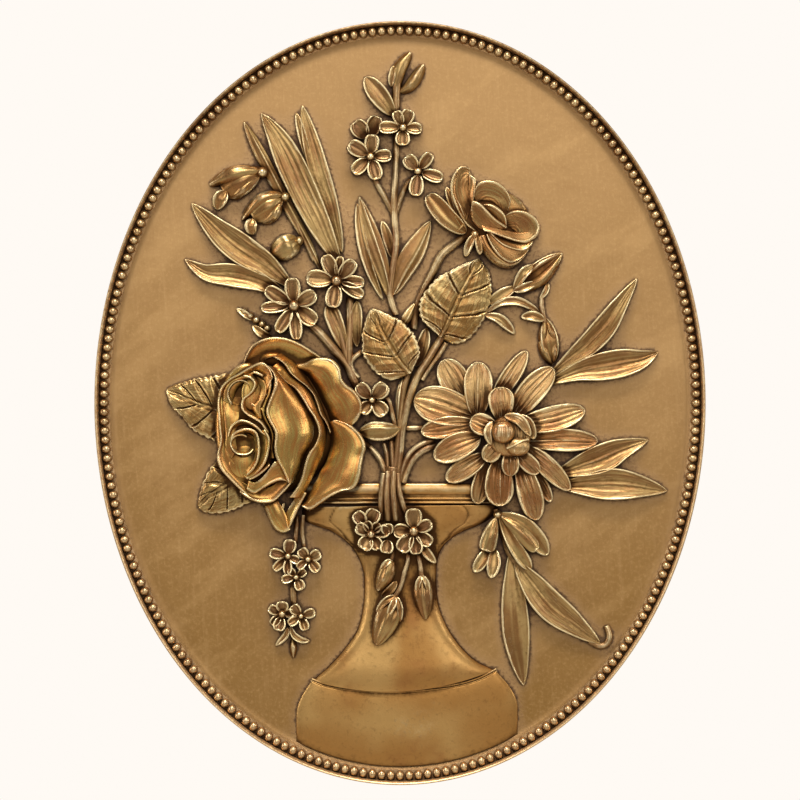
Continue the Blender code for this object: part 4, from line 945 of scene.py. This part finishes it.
def round_corner(inset, depth, radius, start, end, steps):
    """Points of a quarter round about a corner of the profile, from one angle to another in degrees."""
    points = []
    for step in range(steps + 1):
        angle = math.radians(start + (end - start) * step / steps)
        points.append((inset + radius * math.cos(angle), depth + radius * math.sin(angle)))
    return points


def turn_to_front(bm):
    """Turns the faces of an open surface to look forwards."""
    bmesh.ops.recalc_face_normals(bm, faces=bm.faces[:])
    if sum(face.normal.y * face.calc_area() for face in bm.faces) > 0:
        bmesh.ops.reverse_faces(bm, faces=bm.faces[:])


def add_border():
    """The side wall, a lip that is highest at its outer edge, and the channel the beads lie in."""
    bm = bmesh.new()
    profile = [(BACK_CHAMFER, 0.0), (0.0004, BACK_CHAMFER * 0.6), (0.0, BACK_CHAMFER)]
    profile += [(0.0, RIM_DEPTH - 2 * LIP_ROUND)]
    profile += round_corner(LIP_ROUND, RIM_DEPTH - LIP_ROUND, LIP_ROUND, 180, 65, 6)
    profile += [(LIP_WIDTH * 0.55, RIM_DEPTH - 0.0006), (LIP_WIDTH * 0.85, RIM_DEPTH - 0.0016)]
    profile += [(LIP_WIDTH, BEAD_FOOT), (BEAD_ROW_END, BEAD_FOOT)]
    sweep(bm, profile, OVAL_SEGMENTS)
    turn_to_front(bm)
    return bm


def add_ground():
    """The ground: the slope inside the beads and a fine, slightly uneven disc that closes at its middle."""
    bm = bmesh.new()
    across = WIDTH / 2 - GROUND_EDGE
    slope = [
        (BEAD_ROW_END, BEAD_FOOT),
        (BEAD_ROW_END + 0.0005, BEAD_FOOT - 0.0003),
        (BEAD_ROW_END + 0.0013, GROUND + 0.0011),
        (GROUND_EDGE - 0.001, GROUND + 0.0003),
        (GROUND_EDGE, GROUND + 0.0001),
    ]
    flat = [(GROUND_EDGE + across * ring / GROUND_RINGS, GROUND) for ring in range(1, GROUND_RINGS)]
    sweep(bm, slope + flat, OVAL_SEGMENTS)
    for vert in bm.verts:
        if abs(vert.co.y + GROUND) < 1e-7:
            away = Vector((vert.co.x, vert.co.z * WIDTH / HEIGHT)).length
            share = (across - away) / across
            wave = math.sin(41 * vert.co.x + 2 * math.sin(33 * vert.co.z)) * math.sin(37 * vert.co.z)
            vert.co.y -= GROUND_WAVE * wave * min(1.0, 8 * max(share, 0.0))
    hole = [edge for edge in bm.edges if edge.is_boundary and edge.verts[0].co.xz.length < 0.06]
    bmesh.ops.contextual_create(bm, geom=hole)
    turn_to_front(bm)
    return bm


def add_beads():
    """The row of beads, each a little narrower along the row than across it."""
    bm = bmesh.new()
    middle = (LIP_WIDTH + BEAD_ROW_END) / 2
    across = WIDTH / 2 - middle
    up = HEIGHT / 2 - middle
    for angle in even_angles(middle, BEAD_COUNT):
        at = oval_point(middle, BEAD_FOOT, angle)
        outward = Vector((at.x / across ** 2, 0.0, at.z / up ** 2)).normalized()
        along = Vector((outward.z, 0.0, -outward.x))
        half_sizes = (BEAD_HALF_LENGTH, BEAD_DIAMETER / 2, BEAD_CREST - BEAD_FOOT)
        frame_of_bead = Matrix.Identity(4)
        for column, (way, size) in enumerate(zip((along, outward, TO_FRONT), half_sizes)):
            for line in range(3):
                frame_of_bead[line][column] = way[line] * size
        frame_of_bead.translation = at
        bead = bmesh.new()
        bmesh.ops.create_uvsphere(bead, u_segments=10, v_segments=6, radius=1.0, matrix=frame_of_bead)
        bmesh.ops.recalc_face_normals(bead, faces=bead.faces[:])
        join_into(bm, bead)
    return bm


def add_back():
    """The flat back with the hanging recess cut into it."""
    bm = bmesh.new()
    low = HEIGHT / 2 - RECESS_BELOW_TOP
    half = RECESS_WIDTH / 2
    ring = bmesh.ops.create_circle(bm, cap_ends=False, segments=OVAL_SEGMENTS, radius=1.0)["verts"]
    for vert, angle in zip(ring, even_angles(0.0, OVAL_SEGMENTS)):
        vert.co = oval_point(BACK_CHAMFER, 0.0, angle)
    roof = low + RECESS_HEIGHT + RECESS_CATCH * RECESS_OVERRUN / (RECESS_DEPTH + RECESS_OVERRUN)
    corners = ((-half, 0, low), (half, 0, low), (half, 0, roof), (-half, 0, roof))
    mouth = [bm.verts.new(corner) for corner in corners]
    mouth_edges = [bm.edges.new((mouth[i], mouth[(i + 1) % 4])) for i in range(4)]
    outer_edges = [bm.edges.get((ring[i], ring[(i + 1) % OVAL_SEGMENTS])) for i in range(OVAL_SEGMENTS)]
    bmesh.ops.triangle_fill(bm, use_beauty=True, edges=outer_edges + mouth_edges)
    deep = bmesh.ops.extrude_edge_only(bm, edges=mouth_edges)["geom"]
    floor = {item for item in deep if isinstance(item, bmesh.types.BMVert)}
    for vert in floor:
        vert.co.y = -RECESS_DEPTH
        if vert.co.z > low + RECESS_HEIGHT / 2:
            vert.co.z = low + RECESS_HEIGHT + RECESS_CATCH
    floor_edges = [edge for edge in bm.edges if edge.verts[0] in floor and edge.verts[1] in floor]
    bmesh.ops.contextual_create(bm, geom=floor_edges)
    bmesh.ops.recalc_face_normals(bm, faces=bm.faces[:])
    flat = [face for face in bm.faces if all(abs(vert.co.y) < 1e-7 for vert in face.verts)]
    if sum(face.normal.y * face.calc_area() for face in flat) < 0:
        bmesh.ops.reverse_faces(bm, faces=bm.faces[:])
    return bm


def make_object(name, bm, smooth=True):
    """A piece of the casting, which rides the one body."""
    mesh = bpy.data.meshes.new(name)
    bm.to_mesh(mesh)
    bm.free()
    if smooth:
        mesh.shade_smooth()
    made = bpy.data.objects.new(name, mesh)
    bpy.context.scene.collection.objects.link(made)
    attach(made, "root")
    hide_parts("floral_relief_plaque")
    return made


# Where the patina and painted shade gather and where worn edges and painted highlights go: how far each point
# lies above or below its surroundings

def blur(values, weights, radius):
    """A blurred height map that takes no notice of empty cells."""
    reach = int(radius * 2.5) + 1
    kernel = np.exp(-0.5 * (np.arange(-reach, reach + 1) / radius) ** 2)
    parts = []
    for field in (values * weights, weights):
        for axis in (0, 1):
            field = np.apply_along_axis(lambda line: np.convolve(line, kernel, mode="same"), axis, field)
        parts.append(field)
    return parts[0] / np.maximum(parts[1], 1e-6)


def read_points(items, name):
    """The vector of this name of every item, as the lines of an array."""
    values = np.empty(len(items) * 3)
    items.foreach_get(name, values)
    return values.reshape(-1, 3)


def mark_patina(objects):
    """Writes each point's height over a near and a wide average as the attributes crest, for worn gilding and
    painted highlight, and hollow, for patina and painted shade, and how crowded the relief is round it as
    present; on the ground, hollow is a painted contact shadow.
    """
    cell = SQUARE_X * 1.5
    columns = int(WIDTH / cell) + 2
    lines = int(HEIGHT / cell) + 2
    heights = np.full((lines, columns), -1.0)

    def cells_of(points):
        """The line, the column and the lift of each point on the map of heights."""
        column = np.clip(((points[:, 0] + WIDTH / 2) / cell).astype(int), 0, columns - 1)
        line = np.clip(((points[:, 2] + HEIGHT / 2) / cell).astype(int), 0, lines - 1)
        return line, column, (-points[:, 1] - GROUND) / SQUARE_Y

    everything = []
    for made in objects:
        points = read_points(made.data.vertices, "co")
        centres = read_points(made.data.polygons, "center")
        everything.append((made, points))
        line, column, lift = cells_of(np.concatenate([points, centres]))
        np.maximum.at(heights, (line, column), lift)
    filled = (heights > -0.9).astype(float)
    near = blur(heights, filled, 1.8)
    close = blur(heights, filled, 2.6)
    wide = blur(heights, filled, 6.0)
    across = ((np.arange(columns) + 0.5) * cell - WIDTH / 2) / (WIDTH / 2)
    up = ((np.arange(lines) + 0.5) * cell - HEIGHT / 2) / (HEIGHT / 2)
    near_border = np.hypot(across[None, :], up[:, None]) > 1 - 2 * GROUND_EDGE / WIDTH
    proud = (heights > np.where(near_border, 5.0, 1.5)).astype(float)
    present = blur(proud, np.ones_like(heights), 6.0)
    contact_shade = blur(proud, np.ones_like(heights), 1.5)
    for made, points in everything:
        line, column, lift = cells_of(points)
        # crest marks worn gilding that also serves as a painted highlight on high spots; hollow marks patina
        # and painted shade in low spots.
        crest = np.clip((lift - near[line, column]) / 2.4, 0, 1)
        hollow = np.clip((close[line, column] - lift) / 5.0 + (wide[line, column] - lift) / 16.0, 0, 1)
        # On the ground, hollow is a painted contact shadow where the relief stands on it.
        if made.name == "ground":
            hollow = np.clip(contact_shade[line, column] * 1.5 - 0.1, 0, 1)
        fields = {"crest": crest, "hollow": hollow, "present": present[line, column]}
        for name, values in fields.items():
            layer = made.data.attributes.new(name, "FLOAT", "POINT")
            layer.data.foreach_set("value", values.astype(np.float32))


# Materials

def linear(colour):
    """A colour of 0 to 255 as the renderer counts it."""
    parts = [c / 255 / 12.92 if c <= 10 else ((c / 255 + 0.055) / 1.055) ** 2.4 for c in colour]
    return (*parts, 1.0)


class Wire:
    """A shader socket whose arithmetic adds Math nodes."""

    def __init__(self, graph, socket):
        self.graph = graph
        self.socket = socket

    def math(self, operation, *others, clamp=False):
        settings = {"operation": operation, "use_clamp": clamp}
        return self.graph.node("ShaderNodeMath", settings, dict(enumerate((self,) + others)))

    def __add__(self, other):
        return self.math("ADD", other)

    def __radd__(self, other):
        return self.math("ADD", other)

    def __sub__(self, other):
        return self.math("SUBTRACT", other)

    def __rsub__(self, other):
        return self.graph.node("ShaderNodeMath", {"operation": "SUBTRACT"}, {0: other, 1: self})

    def __mul__(self, other):
        return self.math("MULTIPLY", other)

    def __rmul__(self, other):
        return self.math("MULTIPLY", other)

    def held(self):
        """The value, kept between 0 and 1."""
        return self.math("MULTIPLY", 1.0, clamp=True)

    def step(self, low, high):
        """0 below low, 1 above high and smooth between."""
        sockets = {"Value": self, "From Min": low, "From Max": high}
        return self.graph.node("ShaderNodeMapRange", {"interpolation_type": "SMOOTHSTEP"}, sockets)


class Graph:
    """A material and the nodes that feed its shader."""

    def __init__(self, name):
        self.material = bpy.data.materials.new(name)
        self.material.use_nodes = True
        self.tree = self.material.node_tree
        self.shader = self.tree.nodes["Principled BSDF"]

    def node(self, kind, settings, sockets, output=0):
        made = self.tree.nodes.new(kind)
        for key, value in settings.items():
            setattr(made, key, value)
        for key, value in sockets.items():
            self.join(made.inputs[key], value)
        return Wire(self, made.outputs[output])

    def join(self, socket, value):
        if isinstance(value, Wire):
            self.tree.links.new(value.socket, socket)
        else:
            socket.default_value = value

    def attribute(self, name):
        return self.node("ShaderNodeAttribute", {"attribute_name": name}, {}, "Fac")

    def spot(self, stretch=(1.0, 1.0, 1.0), turn=0.0):
        """Object coordinates, turned about the viewing line and then stretched."""
        place_of = self.node("ShaderNodeTexCoord", {}, {}, "Object")
        turned = self.node("ShaderNodeMapping", {}, {"Vector": place_of, "Rotation": (0.0, turn, 0.0)})
        return self.node("ShaderNodeMapping", {}, {"Vector": turned, "Scale": stretch})

    def up(self):
        """How high a point lies above the middle of the oval, in metres."""
        return self.node("ShaderNodeSeparateXYZ", {}, {"Vector": self.spot()}, "Z")

    def noise(self, scale, detail=3.0, rough=0.55, stretch=(1.0, 1.0, 1.0), turn=0.0):
        sockets = {"Vector": self.spot(stretch, turn), "Scale": scale, "Detail": detail, "Roughness": rough}
        return self.node("ShaderNodeTexNoise", {}, sockets)

    def streaks(self, across=0.42, along=0.035):
        """Fine lines that run the length of each leaf and petal, from the places kept on its sheet."""
        sockets = {"X": self.attribute("along") * along, "Y": self.attribute("across") * across, "Z": 0.0}
        vector = self.node("ShaderNodeCombineXYZ", {}, sockets)
        sockets = {"Vector": vector, "Scale": 1.0, "Detail": 2.0, "Roughness": 0.6}
        return self.node("ShaderNodeTexNoise", {}, sockets)

    def mix(self, share, first, second):
        first = linear(first) if isinstance(first, tuple) else first
        second = linear(second) if isinstance(second, tuple) else second
        made = self.tree.nodes.new("ShaderNodeMix")
        made.data_type = "RGBA"
        for key, value in ((0, share), (6, first), (7, second)):
            self.join(made.inputs[key], value)
        return Wire(self, made.outputs[2])


def gilt(name, warm, pale, deep, rough, metallic, worn_and_highlight_share, streaky, grain=0.3, patch=28.0, coat=0.3,
         painted_light_below=0.0, painted_light_from=0.5):
    """Antique gold paint: patches of two golds and a red brown, umber patina in the hollows deepened with
    painted shade there and on the side walls, paler worn edges that are also painted highlights, and painted
    light that makes it lighter below where asked.
    """
    graph = Graph(name)
    broad = graph.noise(patch, 3.0)
    second = graph.noise(patch * 1.7, 4.0, turn=0.9)
    fine = graph.noise(330.0, 4.0, 0.65)
    speck = graph.noise(1300.0, 2.0, 0.6)
    streak = graph.streaks() if streaky else fine
    colour = graph.mix((broad * 0.45 + streak * 0.55).step(0.42, 0.60), warm, pale)
    colour = graph.mix(second.step(0.50, 0.70) * 0.5, colour, deep)
    colour = graph.mix(fine.step(0.50, 0.75) * 0.3, colour, UMBER)
    # Painted light: lighter towards the bottom, where the lip and beads face up into the light from above.
    if painted_light_below:
        below = (painted_light_from - graph.up() * 2.4).held()
        colour = graph.mix(below * painted_light_below, colour, (214, 176, 128))
    # Umber patina in the hollows, deepened by painted shade in the hollows and on the side walls.
    hollow = graph.attribute("hollow")
    side = graph.attribute("side")
    dark = (hollow * 1.25 + side * 0.7 + (fine - 0.5) * 0.5 + (streak - 0.5) * (2.8 * streaky)).held()
    colour = graph.mix(dark.step(0.08, 0.85) * 0.94, colour, UMBER)
    # Paler worn gilding on rims and crests, which also serves as a painted highlight.
    worn_and_highlight = graph.attribute("rim") * (second * 0.9 + 0.08) + graph.attribute("crest") * 0.9
    worn_and_highlight = worn_and_highlight + (fine - 0.5) + (speck - 0.5) * 0.4 + (0.47 - streak) * (3.0 * streaky)
    worn_and_highlight = (worn_and_highlight * (1.0 - side)).step(0.20, 1.0) * worn_and_highlight_share
    colour = graph.mix(worn_and_highlight, colour, CREAM)
    graph.join(graph.shader.inputs["Base Color"], colour)
    graph.join(graph.shader.inputs["Roughness"], (fine * 0.2 + dark * 0.25 + (rough - 0.1)).held())
    graph.shader.inputs["Metallic"].default_value = metallic
    graph.join(graph.shader.inputs["Coat Weight"], (1.0 - dark.step(0.0, 0.5)) * coat)
    graph.shader.inputs["Coat Roughness"].default_value = 0.28
    graph.shader.inputs["Specular Tint"].default_value = linear((226, 190, 136))
    height = fine * 0.6 + speck * 0.3 - streak * (2.0 * streaky)
    bump_node = graph.node("ShaderNodeBump", {}, {"Strength": grain, "Distance": 0.0007, "Height": height})
    graph.join(graph.shader.inputs["Normal"], bump_node)
    return graph.material


def ground_gilt():
    """The ground: brushed gold with painted light, paler above and olive below, stippled where the relief
    crowds round it, with painted shade where the relief encloses and touches it.
    """
    graph = Graph("ground_gilt")
    broad = graph.noise(9.0, 3.0)
    strokes = graph.noise(240.0, 4.0, 0.6, (1.0, 1.0, 0.10), 0.06)
    cross = graph.noise(150.0, 4.0, 0.6, (0.2, 1.0, 1.0), -0.2)
    fine = graph.noise(430.0, 4.0, 0.65)
    # Painted light from above: paler towards the top and darker olive towards the bottom.
    painted_top_light = (graph.up() * 2.4 + 0.6 + (broad - 0.5) * 0.7).held()
    colour = graph.mix(painted_top_light, (126, 90, 36), (155, 119, 72))
    colour = graph.mix(strokes.step(0.50, 0.75) * 0.08, colour, (222, 182, 128))
    colour = graph.mix(fine.step(0.45, 0.75) * 0.15, colour, (216, 176, 120))
    brushed = graph.noise(46.0, 4.0, 0.6, (0.3, 1.0, 1.0), 0.6)
    colour = graph.mix(brushed.step(0.46, 0.66) * 0.16, colour, (204, 164, 108))
    colour = graph.mix(cross.step(0.50, 0.75) * 0.14, colour, (124, 86, 42))
    crowd = graph.attribute("present").step(0.10, 0.55)
    colour = graph.mix(crowd * 0.3, colour, (176, 142, 104))
    colour = graph.mix((crowd * fine.step(0.50, 0.62)) * 0.5, colour, (96, 62, 34))
    # Painted shade where the relief closes round the ground.
    enclosed_shade = (graph.attribute("present") + (fine - 0.5) * 0.5).step(0.55, 0.85)
    colour = graph.mix(enclosed_shade * 0.7, colour, (74, 46, 24))
    # Painted contact shadow in umber along the foot of the relief.
    colour = graph.mix((graph.attribute("hollow") + (fine - 0.5) * 0.5).step(0.2, 0.75) * 0.7, colour, UMBER)
    graph.join(graph.shader.inputs["Base Color"], colour)
    graph.join(graph.shader.inputs["Roughness"], (strokes * 0.16 + fine * 0.1 + 0.36).held())
    graph.shader.inputs["Metallic"].default_value = 0.55
    height = strokes * 0.7 + cross * 0.5 + fine * (0.2 + 1.8 * crowd)
    bump_node = graph.node("ShaderNodeBump", {}, {"Strength": 0.3, "Distance": 0.0007, "Height": height})
    graph.join(graph.shader.inputs["Normal"], bump_node)
    return graph.material


def plain_material(name, colour, rough, glow=0.0):
    """A material of the stage, which may glow of itself."""
    graph = Graph(name)
    graph.shader.inputs["Base Color"].default_value = linear(colour) if not glow else (0.0, 0.0, 0.0, 1.0)
    graph.shader.inputs["Roughness"].default_value = rough
    if glow:
        graph.shader.inputs["Specular IOR Level"].default_value = 0.0
        graph.shader.inputs["Emission Color"].default_value = linear(colour)
        graph.shader.inputs["Emission Strength"].default_value = glow
    return graph.material


# Stage, lights and camera

def make_plane(name, size, turn, where, material):
    """A flat square, turned about X."""
    bm = bmesh.new()
    bmesh.ops.create_grid(bm, x_segments=1, y_segments=1, size=size, matrix=Matrix.Rotation(turn, 4, "X"))
    mesh = bpy.data.meshes.new(name)
    bm.to_mesh(mesh)
    bm.free()
    mesh.materials.append(material)
    made = bpy.data.objects.new(name, mesh)
    made.location = where
    bpy.context.scene.collection.objects.link(made)
    return made


def add_stage():
    """A pale floor far below, a pale sheet behind and an even light all round."""
    pale = plain_material("pale_floor", (232, 228, 220), 0.9)
    made = make_plane("floor", 4.0, 0.0, (0.0, 0.0, -FLOOR_DROP), pale)
    world = bpy.context.scene.world or bpy.data.worlds.new("World")
    bpy.context.scene.world = world
    world.use_nodes = True
    background = world.node_tree.nodes["Background"]
    background.inputs["Color"].default_value = linear((255, 250, 244))
    background.inputs["Strength"].default_value = 0.32
    glowing = plain_material("pale_backdrop", (255, 250, 244), 1.0, 1.0)
    backdrop = make_plane("backdrop", 2.5, math.pi / 2, (0.0, BACKDROP_AWAY, 0.0), glowing)


def add_light(name, where, size, power, colour=(1.0, 1.0, 1.0)):
    """A lit rectangle that faces the origin."""
    data = bpy.data.lights.new(name, "AREA")
    data.shape = "RECTANGLE"
    data.size, data.size_y = size
    data.energy = power
    data.color = colour
    made = bpy.data.objects.new(name, data)
    made.location = where
    made.rotation_euler = (-Vector(where)).to_track_quat("-Z", "Y").to_euler()
    bpy.context.scene.collection.objects.link(made)


def add_camera():
    """The camera of the photograph: straight on, with the object a little above its middle."""
    data = bpy.data.cameras.new("camera")
    data.sensor_width = SENSOR
    data.lens = SENSOR * (CAMERA_AWAY - RIM_DEPTH) / PICTURE_WIDTH
    data.shift_y = PICTURE_SHIFT
    made = bpy.data.objects.new("camera", data)
    made.location = (0.0, -CAMERA_AWAY, 0.0)
    made.rotation_euler = (math.pi / 2, 0.0, 0.0)
    bpy.context.scene.collection.objects.link(made)
    bpy.context.scene.camera = made


# Each piece's gilt: its name, its warm, pale and deep gold, roughness, metal, share of worn edges and painted
# highlights, and streaks, and then grain, patch, coat, and how much lighter painted light makes it below and
# from where
GILTS = {
    "long_leaves": ("leaf_gilt", (127, 89, 46), (167, 136, 84), (112, 66, 33), 0.32, 0.8, 0.65, 0.5),
    "toothed_leaves": ("toothed_gilt", (140, 101, 50), (184, 156, 100), (124, 72, 36), 0.28, 0.8, 0.6, 0.15),
    "stems": ("stem_gilt", (122, 84, 48), (154, 122, 78), (108, 66, 36), 0.36, 0.75, 0.45, 0.45),
    "small_blossoms": ("blossom_gilt", (118, 80, 46), (150, 116, 72), (98, 58, 32), 0.28, 0.8, 0.7, 0.2),
    "daisy": ("daisy_gilt", (146, 96, 50), (188, 152, 98), (124, 64, 32), 0.29, 0.8, 0.75, 1.0),
    "rose": ("rose_gilt", (174, 117, 54), (176, 147, 78), (156, 90, 43), 0.25, 0.82, 0.5, 0.1, 0.12, 40.0,
             0.4),
    "open_bloom": ("bloom_gilt", (146, 100, 52), (164, 134, 82), (132, 76, 40), 0.27, 0.82, 0.5, 0.2, 0.16),
    "buds": ("bud_gilt", (136, 94, 48), (164, 136, 84), (116, 66, 38), 0.29, 0.8, 0.6, 0.25, 0.2),
    "vase": ("vase_gilt", (160, 115, 60), (180, 141, 84), (142, 91, 48), 0.36, 0.75, 0.3, 0.12, 0.2, 20.0,
             0.1),
    "border": ("border_gilt", (132, 96, 58), (154, 120, 78), (108, 72, 42), 0.34, 0.75, 0.5, 0.0, 0.3,
               28.0, 0.3, 0.7),
    "beads": ("bead_gilt", (149, 110, 66), (174, 141, 95), (126, 86, 50), 0.28, 0.8, 0.35, 0.0, 0.3,
              28.0, 0.3, 0.6, 0.05),
    "back": ("back_gilt", (120, 82, 44), (132, 96, 56), (104, 68, 34), 0.55, 0.4, 0.0, 0.0, 0.3, 28.0, 0.0),
}


def main():
    pieces = {name: make_object(name, bm) for name, bm in add_flowers_and_leaves().items()}
    pieces["ground"] = make_object("ground", add_ground())
    pieces["border"] = make_object("border", add_border())
    pieces["beads"] = make_object("beads", add_beads())
    mark_patina(pieces.values())
    pieces["back"] = make_object("back", add_back(), smooth=False)
    for name, look in GILTS.items():
        pieces[name].data.materials.append(gilt(*look))
    pieces["ground"].data.materials.append(ground_gilt())

    add_stage()
    add_light("key_above", (-0.1, -1.2, 1.9), (1.2, 0.5), 50.0, (1.0, 0.98, 0.95))
    add_light("front_fill", (0.2, -3.2, 0.9), (2.6, 1.6), 39.0)
    add_light("side_left", (-1.7, -0.6, 0.3), (0.3, 1.4), 9.0)
    add_light("side_right", (1.7, -0.7, 0.5), (0.3, 1.4), 8.0)
    add_camera()
    bpy.context.scene.view_settings.view_transform = "Standard"


main()
